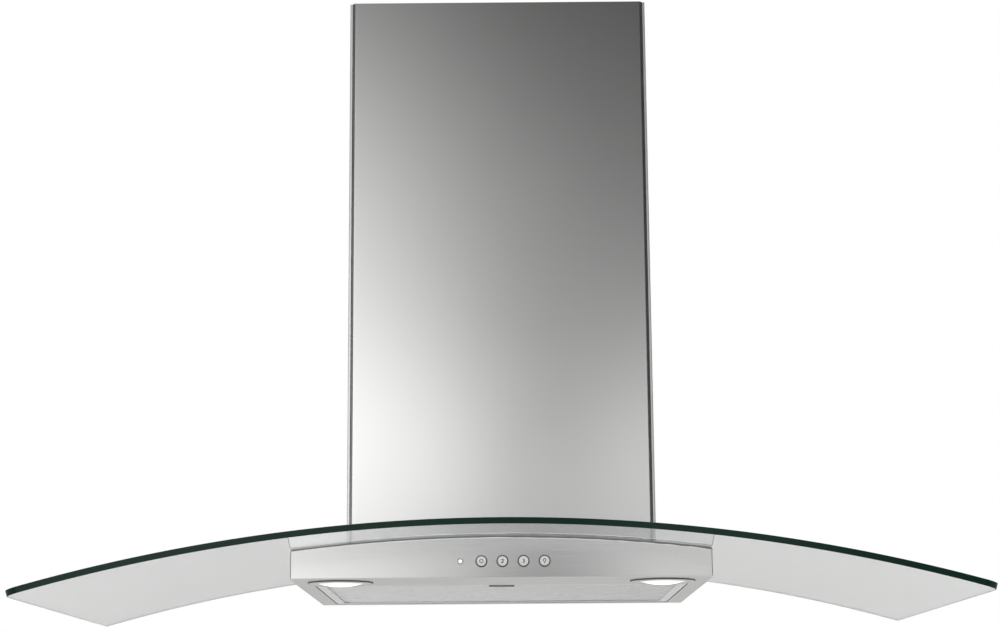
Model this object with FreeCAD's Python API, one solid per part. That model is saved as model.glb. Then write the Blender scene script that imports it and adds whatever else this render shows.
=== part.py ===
"""Curved glass range hood: a shallow steel body under a bent glass canopy, with a telescopic chimney.

Frame: X to the right seen from the front, Y towards the wall, Z up, millimetres.
The origin is the centre of the four wall screws, on the wall plane. The glass arches about a line
along Y, so its height is the same from front to rear at any X.
"""
import FreeCAD, Part
import math
import os

V = FreeCAD.Vector
os.makedirs("parts", exist_ok=True)

# ---- driving dimensions ------------------------------------------------------------------------
GLASS_WIDTH = 898.0          # canopy, tip to tip
GLASS_DEPTH = 500.0          # canopy, front edge to wall
GLASS_THICK = 6.0
GLASS_CORNER_R = 12.0        # front corners in plan
ARCH_RADIUS = 1635.0         # underside of the glass
APEX_Z = -140.0              # underside of the glass on the centre line
WALL_GAP = 1.0               # glass to wall

BODY_WIDTH = 404.0
BODY_HEIGHT = 40.6           # underside of the glass to underside of the body, on the centre line
FASCIA_SETBACK = 110.0       # fascia behind the glass front edge
BODY_REAR_Y = -6.0
SHEET = 1.0                  # stainless sheet of body and chimney
DECK_THICK = 1.2
SEAL_THICK = 1.0             # between deck and glass
SEAL_CLEAR = 0.05            # each side of the seal
SEAL_WIDTH = 8.0
FASCIA_DEPTH = 3.0           # folded tray
FASCIA_BEND = 1.0            # outside radius of its folds
FASCIA_GAP = 1.5             # dark seam between its top edge and the glass
TAB_LENGTH = 14.0            # side tabs of the fascia, inside the body

CHIMNEY_WIDTH = 316.0
CHIMNEY_DEPTH = 255.0
CHIMNEY_TOP = 585.0          # above the underside apex of the glass
CHIMNEY_STEP = 3.0           # the front panel stands this far ahead of its corner strips
CHIMNEY_STRIP = 2.0          # width of each corner strip
CHIMNEY_BEND = 1.5           # outer bend of each corner
PANEL_BEND = 2.0             # bend at each edge of the front panel
CHIMNEY_LIFT = 0.5           # lower edge above the glass
UPPER_CLEAR = 2.5            # upper chimney inside the lower one, each side
UPPER_SHEET = 0.8

TOWER_HALF_W = 130.0         # blower box
TOWER_DEPTH = 236.0
TOWER_TOP = 262.0            # above the apex
TOWER_SHEET = 1.2
THROAT_MARGIN = 12.0         # flange width around the opening in the deck
NOTCH_CLEAR = 3.0            # glass notch around the tower

LAMP_X = 157.0
LAMP_SETBACK = 47.0          # lamp centre behind the fascia
LAMP_R = 31.8
FRONT_STRIP = 92.0           # underside strip that holds the lamps
SIDE_STRIP = 16.5
REAR_STRIP = 15.0
FILTER_HEIGHT = 9.0
FILTER_RIM = 9.0
MESH_THICK = 1.0
FILTER_GAP = 1.0
FILTER_AXIS_INSET = 7.5      # hinge line ahead of the opening's rear edge
FILTER_CORNER_R = 5.0

BUTTON_PITCH = 20.1
BUTTON_R = 4.55
BUTTON_PROUD = 2.2
CONTROL_SHIFT = 1.1          # second button from the centre line
CONTROL_Z = 16.0             # control centres above the underside
PILOT_R = 2.25
PILOT_HOLE_R = 2.7

IMPELLER_R = 65.0
IMPELLER_HALF_W = 44.0
BLADES = 26
SPIRAL_R = 76.0              # first radius of the scroll
SPIRAL_STEP = 10.0           # growth of the radius in each quarter turn
SCROLL_WALL = 2.5
SCROLL_HALF_W = 49.0
SCROLL_CENTRE_Y = -147.0
SCROLL_CENTRE_Z = 120.0      # above the apex
OUTLET_LEFT = 21.0           # scroll outlet's near wall, from the fan axis
SHAFT_R = 4.0
RUN_CLEAR = 0.05             # radial, for a shaft in its bearing

COLLAR_R = 74.5              # outside of the outlet collar, for a 150 mm duct
COLLAR_WALL = 2.5
COLLAR_HEIGHT = 45.0
FLAP_CLEAR = 1.5

WALL_HOLE_X = 90.0           # half the spacing of the wall screws
WALL_HOLE_Z = 60.0
WALL_HOLE_R = 4.0
CEILING_HOLE_X = 110.0       # wall screws of the upper bracket
CEILING_HOLE_R = 3.0

M4_R = 2.0                   # stems of the assembly screws
M4_CLEAR_R = 2.2
M4_HEAD_R = 4.0
TAB_SCREW_R = 1.6            # fascia tabs
BRACKET_SCREW_R = 1.8        # upper chimney
DRILL = 30.0                 # reach of a through hole each way

# ---- places worked out from them ---------------------------------------------------------------
UNDER_Z = APEX_Z - BODY_HEIGHT
FASCIA_Y = -(GLASS_DEPTH - FASCIA_SETBACK)
BODY_HALF = BODY_WIDTH / 2
SHELL_FRONT_Y = FASCIA_Y + FASCIA_DEPTH
TOWER_TOP_Z = APEX_Z + TOWER_TOP
FAN_Z = APEX_Z + SCROLL_CENTRE_Z
FAN_Y = SCROLL_CENTRE_Y
OUTLET_RIGHT = SPIRAL_R + 2.5 * SPIRAL_STEP
COLLAR_Y = FAN_Y + (OUTLET_LEFT + OUTLET_RIGHT) / 2
CONTROL_Y = FASCIA_Y
CONTROL_LINE_Z = UNDER_Z + CONTROL_Z
BUTTON_XS = [CONTROL_SHIFT + BUTTON_PITCH * step for step in (-1, 0, 1, 2)]
PILOT_X = CONTROL_SHIFT - 2 * BUTTON_PITCH
OPEN_X = BODY_HALF - SIDE_STRIP
OPEN_FRONT_Y = FASCIA_Y + FRONT_STRIP
OPEN_REAR_Y = BODY_REAR_Y - REAR_STRIP
FILTER_X = OPEN_X - FILTER_GAP
FILTER_FRONT_Y = OPEN_FRONT_Y + FILTER_GAP
FILTER_AXIS_Y = OPEN_REAR_Y - FILTER_AXIS_INSET
FILTER_REAR_Y = FILTER_AXIS_Y + 3.0
FILTER_Z = UNDER_Z + 0.3
FILTER_AXIS_Z = FILTER_Z + FILTER_HEIGHT / 2
LAMP_Y = FASCIA_Y + LAMP_SETBACK
CHIMNEY_TOP_Z = APEX_Z + CHIMNEY_TOP
CHIMNEY_HALF = CHIMNEY_WIDTH / 2
UPPER_HALF = CHIMNEY_HALF - SHEET - UPPER_CLEAR
UPPER_FRONT_Y = -(CHIMNEY_DEPTH - CHIMNEY_STEP - SHEET - UPPER_CLEAR)
UPPER_REAR_Y = -2.5
UPPER_BOTTOM_Z = APEX_Z + 34.0
UPPER_TOP_Z = CHIMNEY_TOP_Z - 4.0
DECK_UNDER = -(SEAL_THICK + DECK_THICK)      # arch offset of the deck's underside
X_AXIS = V(1, 0, 0)
Y_AXIS = V(0, 1, 0)
Z_AXIS = V(0, 0, 1)


# ---- helpers -----------------------------------------------------------------------------------
def box(x0, x1, y0, y1, z0, z1):
    """Box between two corners."""
    return Part.makeBox(x1 - x0, y1 - y0, z1 - z0, V(x0, y0, z0))


def rod(radius, length, base, axis):
    """Cylinder from base along axis."""
    return Part.makeCylinder(radius, length, base, axis)


def tube(outer, inner, length, base, axis):
    """Hollow cylinder from base along axis."""
    return rod(outer, length, base, axis).cut(rod(inner, length, base, axis))


def bore(shape, radius, centre, axis, reach=DRILL):
    """Round hole through a point, as far as reach to each side of it."""
    return shape.cut(rod(radius, 2 * reach, centre - axis * reach, axis))


def union(shapes):
    """All the shapes fused to one."""
    first, rest = shapes[0], shapes[1:]
    return first.multiFuse(rest).removeSplitter() if rest else first


def group(shapes):
    """Separate solids kept in one node."""
    return Part.makeCompound([solid for shape in shapes for solid in shape.Solids])


def save(name, shape):
    """Write one node."""
    solids = shape.Solids
    out = solids[0] if len(solids) == 1 else Part.makeCompound(solids)
    out.exportStep("parts/%s.step" % name)
    volume = sum(solid.Volume for solid in solids)
    print("%-26s %2d solid(s) %10.1f mm3 valid %s" % (name, len(solids), volume, out.isValid()))


def arch_z(x, offset=0.0):
    """Height of the arch at x, offset outwards from the underside of the glass."""
    radius = ARCH_RADIUS + offset
    return APEX_Z - ARCH_RADIUS + math.sqrt(radius * radius - x * x)


def arch_edge(half, offset):
    """Arc of the arch from -half to half."""
    return Part.Arc(
        V(-half, 0, arch_z(half, offset)), V(0, 0, arch_z(0, offset)), V(half, 0, arch_z(half, offset))
    ).toShape()


def line(a, b):
    """Straight edge."""
    return Part.LineSegment(a, b).toShape()


def pull(edges, y0, y1):
    """Closed outline in the XZ plane, pulled from y0 to y1."""
    face = Part.Face(Part.Wire(edges))
    face.translate(V(0, y0, 0))
    return face.extrude(V(0, y1 - y0, 0))


def arch_slab(half, low, high, y0, y1):
    """Bent plate between two offsets of the arch, with vertical ends."""
    bottom = arch_edge(half, low)
    top = arch_edge(half, high)
    left = line(V(-half, 0, arch_z(half, high)), V(-half, 0, arch_z(half, low)))
    right = line(V(half, 0, arch_z(half, low)), V(half, 0, arch_z(half, high)))
    return pull([bottom, right, top, left], y0, y1)


def arch_block(half, z_low, offset, y0, y1):
    """Block from z_low up to the arch."""
    top = arch_edge(half, offset)
    z_end = arch_z(half, offset)
    outline = [
        line(V(-half, 0, z_end), V(-half, 0, z_low)),
        line(V(-half, 0, z_low), V(half, 0, z_low)),
        line(V(half, 0, z_low), V(half, 0, z_end)),
        top,
    ]
    return pull(outline, y0, y1)


def rounded_plate(half, y0, y1, z0, z1, radius):
    """Plate with rounded corners in plan."""
    plate = box(-half, half, y0, y1, z0, z1)
    upright = [edge for edge in plate.Edges if abs(edge.BoundBox.ZLength - (z1 - z0)) < 1e-6]
    return plate.makeFillet(radius, upright)


def hexagon(radius, height, base):
    """Upright hexagonal prism."""
    corners = [base + V(radius * math.cos(turn), radius * math.sin(turn), 0)
               for turn in [math.radians(60 * step) for step in range(7)]]
    return Part.Face(Part.makePolygon(corners)).extrude(V(0, 0, height))


def bent_outline(corners):
    """Closed outline of (point, bend radius) corners, with a tangent arc wherever the radius isn't zero."""
    spans = []
    earlier, later = corners[-1:] + corners[:-1], corners[1:] + corners[:1]
    for before, (corner, radius), after in zip(earlier, corners, later):
        run_in = (corner - before[0]).normalize()
        run_out = (after[0] - corner).normalize()
        half_turn = run_in.getAngle(run_out) / 2
        reach = radius * math.tan(half_turn)
        towards = (run_out - run_in).normalize()
        middle = corner + towards * (radius / math.cos(half_turn) - radius)
        spans.append((corner - run_in * reach, middle, corner + run_out * reach, radius > 0))
    edges = []
    for span, following in zip(spans, spans[1:] + spans[:1]):
        if span[3]:
            edges.append(Part.Arc(span[0], span[1], span[2]).toShape())
        edges.append(line(span[2], following[0]))
    return Part.Wire(edges)


def lead(points, radius):
    """Round lead along straight runs joined by tangent arcs."""
    edges = []
    start = points[0]
    for before, corner, after in zip(points, points[1:], points[2:]):
        run_in = (corner - before)
        run_out = (after - corner)
        shorter = min(run_in.Length, run_out.Length)
        turn = run_in.getAngle(run_out)
        reach = 0.45 * shorter
        arc_in = corner - run_in.normalize() * reach
        arc_out = corner + run_out.normalize() * reach
        bend_r = reach / math.tan(turn / 2)
        towards = ((arc_in + arc_out) * 0.5 - corner).normalize()
        centre = corner + towards * (bend_r / math.cos(turn / 2))
        middle = centre - towards * bend_r
        edges.append(line(start, arc_in))
        edges.append(Part.Arc(arc_in, middle, arc_out).toShape())
        start = arc_out
        print("   lead bend radius %.1f" % bend_r)
    edges.append(line(start, points[-1]))
    path = Part.Wire(edges)
    direction = points[1] - points[0]
    section = Part.Wire(Part.makeCircle(radius, points[0], direction))
    solid = path.makePipeShell([section], True, False, 1)
    print("   lead volume %.0f of %.0f" % (solid.Volume, math.pi * radius ** 2 * path.Length))
    return solid


# ---- glass canopy ------------------------------------------------------------------------------
def glass_canopy():
    """Bent glass with radial ends, rounded front corners, a notch for the tower and screw holes."""
    outer_r = ARCH_RADIUS + GLASS_THICK
    tip = math.asin(GLASS_WIDTH / 2 / outer_r)
    inner_half = ARCH_RADIUS * math.sin(tip)
    bottom = arch_edge(inner_half, 0)
    top = arch_edge(GLASS_WIDTH / 2, GLASS_THICK)
    low_l, low_r = bottom.Vertexes[0].Point, bottom.Vertexes[-1].Point
    high_l, high_r = top.Vertexes[0].Point, top.Vertexes[-1].Point
    glass = pull([bottom, line(low_r, high_r), top, line(high_l, low_l)], -GLASS_DEPTH, -WALL_GAP)
    corners = [edge for edge in glass.Edges
               if edge.BoundBox.YMax < 1 - GLASS_DEPTH and edge.BoundBox.XLength < GLASS_THICK]
    glass = glass.makeFillet(GLASS_CORNER_R, corners)
    notch = TOWER_HALF_W + NOTCH_CLEAR
    glass = glass.cut(box(-notch, notch, -TOWER_DEPTH - NOTCH_CLEAR, 0, UNDER_Z, TOWER_TOP_Z))
    for x, y in canopy_screw_places():
        glass = bore(glass, CANOPY_HOLE_R, V(x, y, APEX_Z), Z_AXIS)
    return glass


# ---- canopy brackets: channels beside the tower that clamp the glass and carry the chimney ---------
CANOPY_SCREW_X = 142.0
CANOPY_SCREW_YS = (-205.0, -45.0)
CANOPY_HOLE_R = 4.0
PAD_TOP_Z = APEX_Z + 8.5
BRACKET_Y0 = -225.0
BRACKET_Y1 = -20.0
BRACKET_SHEET = 1.5
BRACKET_HEIGHT = 20.0
BRACKET_MIDDLE_Y = (BRACKET_Y0 + BRACKET_Y1) / 2
CHIMNEY_SCREW_Z = PAD_TOP_Z + 11.0
PAD_HALF = (9.0, 12.0)       # half sizes of a pad in plan
NUT_R = 4.0                  # across corners
NUT_HEIGHT = 3.2
GLASS_SCREW_LENGTH = 27.0


def canopy_screw_places():
    """The four screws that hold the glass."""
    return [(side * CANOPY_SCREW_X, y) for side in (-1, 1) for y in CANOPY_SCREW_YS]


def canopy_bracket(side):
    """Upturned channel between the tower and the chimney wall."""
    x_in = TOWER_HALF_W
    x_out = CHIMNEY_HALF - SHEET
    z0 = PAD_TOP_Z
    base = box(x_in, x_out, BRACKET_Y0, BRACKET_Y1, z0, z0 + BRACKET_SHEET)
    inner = box(x_in, x_in + BRACKET_SHEET, BRACKET_Y0, BRACKET_Y1, z0, z0 + BRACKET_HEIGHT)
    outer = box(x_out - BRACKET_SHEET, x_out, BRACKET_Y0, BRACKET_Y1, z0, z0 + BRACKET_HEIGHT)
    channel = union([base, inner, outer])
    for y in CANOPY_SCREW_YS:
        channel = bore(channel, M4_CLEAR_R, V(CANOPY_SCREW_X, y, z0), Z_AXIS)
    channel = bore(channel, M4_R, V(x_out, BRACKET_MIDDLE_Y, CHIMNEY_SCREW_Z), X_AXIS, 2 * BRACKET_SHEET)
    return channel if side > 0 else channel.mirror(V(), X_AXIS)


def glass_pads():
    """Four rubber pads between the curved glass and the flat brackets."""
    slab = arch_block(BODY_HALF, UNDER_Z, GLASS_THICK, -GLASS_DEPTH, 0)
    half_x, half_y = PAD_HALF
    pads = []
    for x, y in canopy_screw_places():
        pad = box(x - half_x, x + half_x, y - half_y, y + half_y, APEX_Z, PAD_TOP_Z).cut(slab)
        pads.append(bore(pad, M4_CLEAR_R, V(x, y, PAD_TOP_Z), Z_AXIS))
    return group(pads)


def glass_screws():
    """Four pan-head screws through bracket, pad, glass and deck."""
    out = []
    for x, y in canopy_screw_places():
        z0 = PAD_TOP_Z + BRACKET_SHEET
        head = rod(M4_HEAD_R, 2.6, V(x, y, z0), Z_AXIS)
        stem = rod(M4_R, GLASS_SCREW_LENGTH, V(x, y, z0 - GLASS_SCREW_LENGTH), Z_AXIS)
        out.append(union([head, stem]))
    return group(out)


def glass_nuts():
    """Hexagon nuts under the deck."""
    out = []
    for x, y in canopy_screw_places():
        z_top = arch_z(abs(x) + NUT_R, DECK_UNDER) - 0.3
        base = V(x, y, z_top - NUT_HEIGHT)
        out.append(bore(hexagon(NUT_R, NUT_HEIGHT, base), M4_R, base, Z_AXIS))
    return group(out)


# ---- hood body ---------------------------------------------------------------------------------
def hood_body():
    """Sides, back and arched deck folded from one sheet, open below and in front."""
    outer = arch_block(BODY_HALF, UNDER_Z, -SEAL_THICK, SHELL_FRONT_Y, BODY_REAR_Y)
    inner = arch_block(BODY_HALF - SHEET, UNDER_Z - 1, DECK_UNDER, SHELL_FRONT_Y - 1, BODY_REAR_Y - SHEET)
    shell = outer.cut(inner)
    throat = TOWER_HALF_W - THROAT_MARGIN
    shell = shell.cut(box(-throat, throat, -TOWER_DEPTH + THROAT_MARGIN, BODY_REAR_Y - THROAT_MARGIN + 2,
                          UNDER_Z + BODY_HEIGHT / 2, APEX_Z))
    for x, y in canopy_screw_places():
        shell = bore(shell, M4_CLEAR_R, V(x, y, APEX_Z), Z_AXIS)
    for x, y in tower_screw_places():
        shell = bore(shell, M4_R, V(x, y, APEX_Z), Z_AXIS)
    for side, y, z in fascia_screw_places():
        shell = bore(shell, TAB_SCREW_R, V(side * BODY_HALF, y, z), X_AXIS, 3 * SHEET)
    return shell


def control_fascia():
    """Folded tray with an arched top edge, rounded folds, side tabs, and holes for lamp and buttons."""
    block = arch_block(BODY_HALF, UNDER_Z, -FASCIA_GAP, FASCIA_Y, SHELL_FRONT_Y)
    folds = [edge for edge in block.Edges if edge.BoundBox.YMax < FASCIA_Y + SHEET / 2]
    hollow = arch_block(BODY_HALF - SHEET, UNDER_Z + SHEET, -FASCIA_GAP - SHEET,
                        FASCIA_Y + SHEET, SHELL_FRONT_Y + SHEET)
    tray = block.makeFillet(FASCIA_BEND, folds).cut(hollow)
    tab_x = BODY_HALF - SHEET - 0.1
    tab_end_y = SHELL_FRONT_Y + TAB_LENGTH
    tabs = []
    for side in (-1, 1):
        low, high = sorted((side * tab_x, side * (tab_x - SHEET)))
        tabs.append(box(low, high, FASCIA_Y + SHEET / 2, tab_end_y, UNDER_Z + 3, UNDER_Z + 24))
    fascia = union([tray] + tabs)
    reach = 2 * FASCIA_DEPTH
    for x in BUTTON_XS:
        fascia = bore(fascia, BEZEL_BODY_R + RUN_CLEAR, V(x, CONTROL_Y, CONTROL_LINE_Z), Y_AXIS, reach)
    fascia = bore(fascia, PILOT_HOLE_R, V(PILOT_X, CONTROL_Y, CONTROL_LINE_Z), Y_AXIS, reach)
    for side, y, z in fascia_screw_places():
        fascia = bore(fascia, TAB_SCREW_R, V(side * tab_x, y, z), X_AXIS, 3 * SHEET)
    return fascia


def fascia_screw_places():
    """Two screws on each side, from inside the body."""
    return [(side, SHELL_FRONT_Y + 8, z) for side in (-1, 1) for z in (UNDER_Z + 8, UNDER_Z + 19)]


def fascia_screws():
    """Countersunk screws through the body sides into the fascia tabs, heads inside."""
    out = []
    for side, y, z in fascia_screw_places():
        inwards = V(-side, 0, 0)
        tip = V(side * (BODY_HALF - 0.3), y, z)
        stem = rod(TAB_SCREW_R, 5, tip, inwards)
        head = rod(1.75 * TAB_SCREW_R, 1.8, tip + inwards * (2 * SHEET), inwards)
        out.append(union([stem, head]))
    return group(out)


def bottom_frame():
    """Underside sheet with lamp holes and an upturned edge around the filter opening."""
    half = BODY_HALF - SHEET - 0.1
    front = SHELL_FRONT_Y + 0.1
    rear = BODY_REAR_Y - SHEET - 0.1
    sheet = box(-half, half, front, rear, UNDER_Z, UNDER_Z + SHEET)
    rim = box(-OPEN_X - SHEET, OPEN_X + SHEET, OPEN_FRONT_Y - SHEET, OPEN_REAR_Y + SHEET,
              UNDER_Z, UNDER_Z + FILTER_HEIGHT)
    frame = union([sheet, rim]).cut(
        box(-OPEN_X, OPEN_X, OPEN_FRONT_Y, OPEN_REAR_Y, UNDER_Z - SHEET, UNDER_Z + 2 * FILTER_HEIGHT))
    for side in (-1, 1):
        frame = bore(frame, LAMP_R - LAMP_FLANGE, V(side * LAMP_X, LAMP_Y, UNDER_Z), Z_AXIS, 2 * SHEET)
        pivot = V(side * OPEN_X, FILTER_AXIS_Y, FILTER_AXIS_Z)
        frame = bore(frame, PIVOT_R + RUN_CLEAR, pivot, X_AXIS, 3 * SHEET)
    return frame


def glass_seal():
    """Soft strip on the deck's border, under the glass."""
    half = BODY_HALF - SHEET
    slab = arch_slab(half, SEAL_CLEAR - SEAL_THICK, -SEAL_CLEAR, FASCIA_Y + FASCIA_BEND, BODY_REAR_Y - SHEET)
    inner = box(-half + SEAL_WIDTH, half - SEAL_WIDTH, SHELL_FRONT_Y + SEAL_WIDTH, 0, UNDER_Z, APEX_Z)
    return group([slab.cut(inner)])


# ---- lamps -------------------------------------------------------------------------------------
LENS_R = 22.0
LENS_DOME = 3.0              # height of its dome
LENS_THICK = 3.4             # behind the dome
LENS_EDGE = 0.8              # dome's rim below the sheet
LAMP_CORE_R = 12.0
LAMP_FLANGE = 2.8            # overlap of the flange on the sheet
FLANGE_THICK = 1.0
GASKET_THICK = 0.8


def lamp_centre(side, z):
    """Point on a lamp's axis."""
    return V(side * LAMP_X, LAMP_Y, z)


def lamp_gasket(side):
    """Flat black ring between the sheet and the lamp's flange."""
    inner_r = LAMP_R - LAMP_FLANGE + RUN_CLEAR
    return tube(LAMP_R, inner_r, GASKET_THICK, lamp_centre(side, UNDER_Z - GASKET_THICK), Z_AXIS)


def lamp_bezel(side):
    """Turned ring: flange below the gasket, sleeve through the sheet."""
    base = lamp_centre(side, UNDER_Z - GASKET_THICK - FLANGE_THICK)
    flange = Part.makeCone(LAMP_R - 1.2, LAMP_R - 0.4, FLANGE_THICK, base, Z_AXIS)
    sleeve = rod(LAMP_R - LAMP_FLANGE - 0.4, 9, base, Z_AXIS)
    dish = Part.makeCone(LENS_R + 4, LENS_R + 0.1, 1.6, base, Z_AXIS)
    return bore(union([flange, sleeve]), LENS_R + 0.1, base, Z_AXIS).cut(dish)


def lamp_lens(side):
    """Frosted lens with a shallow dome below."""
    rim = lamp_centre(side, UNDER_Z - LENS_EDGE)
    dome_r = (LENS_R ** 2 + LENS_DOME ** 2) / (2 * LENS_DOME)
    ball = Part.makeSphere(dome_r, rim + Z_AXIS * (dome_r - LENS_DOME))
    dome = ball.common(rod(LENS_R, LENS_DOME + 1, rim - Z_AXIS * LENS_DOME, Z_AXIS))
    return union([dome, rod(LENS_R, LENS_THICK, rim, Z_AXIS)])


def lamp_module(side):
    """Lamp housing with a finned back."""
    base = lamp_centre(side, UNDER_Z - LENS_EDGE + LENS_THICK + 0.1)
    parts = [rod(LENS_R - 0.6, 5, base, Z_AXIS), rod(LAMP_CORE_R, 19, base, Z_AXIS)]
    parts += [rod(LENS_R - 2, 1.6, base + Z_AXIS * height, Z_AXIS) for height in (7, 10, 13)]
    return union(parts)


# ---- controls ----------------------------------------------------------------------------------
BEZEL_BORE_R = BUTTON_R + 0.1
BEZEL_BODY_R = BEZEL_BORE_R + 0.5
BEZEL_FLANGE_R = 5.7
BEZEL_PROUD = 0.7
BUTTON_HEAD = 8.0            # length of a button's head
STEM_R = 2.0
PILOT_PROUD = 1.2
POST_R = 2.5                 # posts that stand the switch block off the fascia
SWITCH_FRONT_Y = CONTROL_Y + 11.0
SWITCH_REAR_Y = CONTROL_Y + 34.0


def button(x):
    """Round button: domed head and a stem into the switch block."""
    centre = V(x, CONTROL_Y - BUTTON_PROUD, CONTROL_LINE_Z)
    head = round_front(rod(BUTTON_R, BUTTON_HEAD, centre, Y_AXIS), centre.y, 0.8)
    stem = rod(STEM_R, 12, centre + V(0, BUTTON_HEAD, 0), Y_AXIS)
    return union([head, stem])


def round_front(head, front_y, radius):
    """Break the front edge of a round head."""
    return head.makeFillet(radius, [edge for edge in head.Edges if abs(edge.BoundBox.YMax - front_y) < 1e-6])


def button_bezels():
    """Four dark rings in the fascia."""
    out = []
    for x in BUTTON_XS:
        face = V(x, CONTROL_Y, CONTROL_LINE_Z)
        flange = rod(BEZEL_FLANGE_R, BEZEL_PROUD, face - Y_AXIS * BEZEL_PROUD, Y_AXIS)
        body = rod(BEZEL_BODY_R, 10.5, face, Y_AXIS)
        out.append(bore(union([flange, body]), BEZEL_BORE_R, face, Y_AXIS))
    return group(out)


def pilot_lens():
    """Small domed pilot light."""
    front = V(PILOT_X, CONTROL_Y - PILOT_PROUD, CONTROL_LINE_Z)
    length = SWITCH_FRONT_Y - 0.1 - front.y
    return round_front(rod(PILOT_R, length, front, Y_AXIS), front.y, 0.95)


def switch_block():
    """Four-gang switch with a bore for each stem."""
    x0 = PILOT_X - 8
    x1 = BUTTON_XS[-1] + 11
    body = box(x0, x1, SWITCH_FRONT_Y, SWITCH_REAR_Y, CONTROL_LINE_Z - 9, CONTROL_LINE_Z + 11)
    back_y = FASCIA_Y + SHEET
    posts = [rod(POST_R, SWITCH_FRONT_Y - back_y, V(x, back_y, CONTROL_LINE_Z), Y_AXIS)
             for x in (x0 + POST_R, x1 - POST_R)]
    body = union([body] + posts)
    for x in BUTTON_XS:
        body = bore(body, STEM_R + 0.3, V(x, SWITCH_FRONT_Y, CONTROL_LINE_Z), Y_AXIS, 15)
    return body


# ---- grease filter -----------------------------------------------------------------------------
PIVOT_R = 2.0
LATCH_HALF_W = 12.5
LATCH_TRAVEL = 4.0
LATCH_DEPTH = 12.0
LATCH_Y0 = FILTER_FRONT_Y + 1.5
SPRING_R = 2.2
SPRING_WIRE_R = 0.35
SPRING_TURNS = 6
SPRING_ROOM = 12.0
LATCH_ROOM_END_Y = LATCH_Y0 + LATCH_DEPTH + LATCH_TRAVEL + SPRING_ROOM
FILTER_LIP = 0.8             # sheet of the filter's frame
LATCH_TONGUE = 7.0           # half width
PIVOT_BOSS = 10.0


def latch_room(clear):
    """Space that the latch slides in."""
    half = LATCH_HALF_W + clear
    return box(-half, half, LATCH_Y0 - clear, LATCH_ROOM_END_Y, FILTER_Z - 1, FILTER_Z + FILTER_HEIGHT - 1.5)


def filter_frame():
    """Folded channel frame with rounded corners and a bay for the latch."""
    z0, z1 = FILTER_Z, FILTER_Z + FILTER_HEIGHT
    lip = FILTER_LIP
    outer = rounded_plate(FILTER_X, FILTER_FRONT_Y, FILTER_REAR_Y, z0, z1, FILTER_CORNER_R)
    window = rounded_plate(FILTER_X - FILTER_RIM, FILTER_FRONT_Y + FILTER_RIM, FILTER_REAR_Y - FILTER_RIM,
                           z0 - 1, z1 + 1, FILTER_CORNER_R)
    cavity = rounded_plate(FILTER_X - lip, FILTER_FRONT_Y + lip, FILTER_REAR_Y - lip,
                           z0 + lip, z1 - lip, FILTER_CORNER_R - lip)
    frame = outer.cut(window).cut(cavity)
    bay_half = LATCH_HALF_W + 2
    bay = box(-bay_half, bay_half, FILTER_FRONT_Y + lip, LATCH_ROOM_END_Y + 2 * lip, z0, z1)
    slot_half = LATCH_TONGUE + 0.4
    slot = box(-slot_half, slot_half, FILTER_FRONT_Y - 1, LATCH_Y0, z0 + 1.6, z0 + 4.4)
    frame = union([frame, bay]).cut(latch_room(0.4)).cut(slot)
    bosses = []
    for side in (-1, 1):
        low, high = sorted((side * FILTER_X, side * (FILTER_X - PIVOT_BOSS)))
        bosses.append(box(low, high, FILTER_AXIS_Y - 4, FILTER_REAR_Y - 0.4, z0 + lip, z1 - lip))
    frame = union([frame] + bosses)
    for side in (-1, 1):
        frame = bore(frame, PIVOT_R, V(side * FILTER_X, FILTER_AXIS_Y, FILTER_AXIS_Z), X_AXIS, 9)
    return frame


def filter_mesh():
    """Lower and upper mesh sheet inside the channel, cut round the latch bay and the pivot bosses."""
    z_low, z_high = FILTER_Z + 0.9, FILTER_Z + FILTER_HEIGHT - 0.9
    pack = group([rounded_plate(FILTER_X - 1.0, FILTER_FRONT_Y + 1.0, FILTER_REAR_Y - 1.0,
                                z, z + MESH_THICK, FILTER_CORNER_R - 1)
                  for z in (z_low, z_high - MESH_THICK)])
    bay_half = LATCH_HALF_W + 2.2
    bay_end = LATCH_ROOM_END_Y + 2 * FILTER_LIP + 0.2
    pack = pack.cut(box(-bay_half, bay_half, FILTER_FRONT_Y, bay_end, z_low - 1, z_high + 1))
    for side in (-1, 1):
        low, high = sorted((side * FILTER_X, side * (FILTER_X - PIVOT_BOSS - 0.2)))
        pack = pack.cut(box(low, high, FILTER_AXIS_Y - 4.2, FILTER_REAR_Y, z_low - 1, z_high + 1))
    return pack


def filter_pins():
    """Two stub pins that the filter swings on."""
    return group([rod(PIVOT_R, 11.2, V(side * (FILTER_X - 9), FILTER_AXIS_Y, FILTER_AXIS_Z), V(side, 0, 0))
                  for side in (-1, 1)])


def filter_latch():
    """Sliding catch with a finger well below and a tongue in front."""
    z0, z1 = FILTER_Z + 0.2, FILTER_Z + FILTER_HEIGHT - 1.9
    body = box(-LATCH_HALF_W, LATCH_HALF_W, LATCH_Y0, LATCH_Y0 + LATCH_DEPTH, z0, z1)
    wall = 2.0
    well_half = LATCH_HALF_W - wall
    well = box(-well_half, well_half, LATCH_Y0 + wall, LATCH_Y0 + LATCH_DEPTH - wall, z0 - 1, z0 + 4.5)
    tongue = box(-LATCH_TONGUE, LATCH_TONGUE, FILTER_FRONT_Y - 0.5, LATCH_Y0 + 1, FILTER_Z + 2, FILTER_Z + 4)
    return union([body, tongue]).cut(well)


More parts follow.
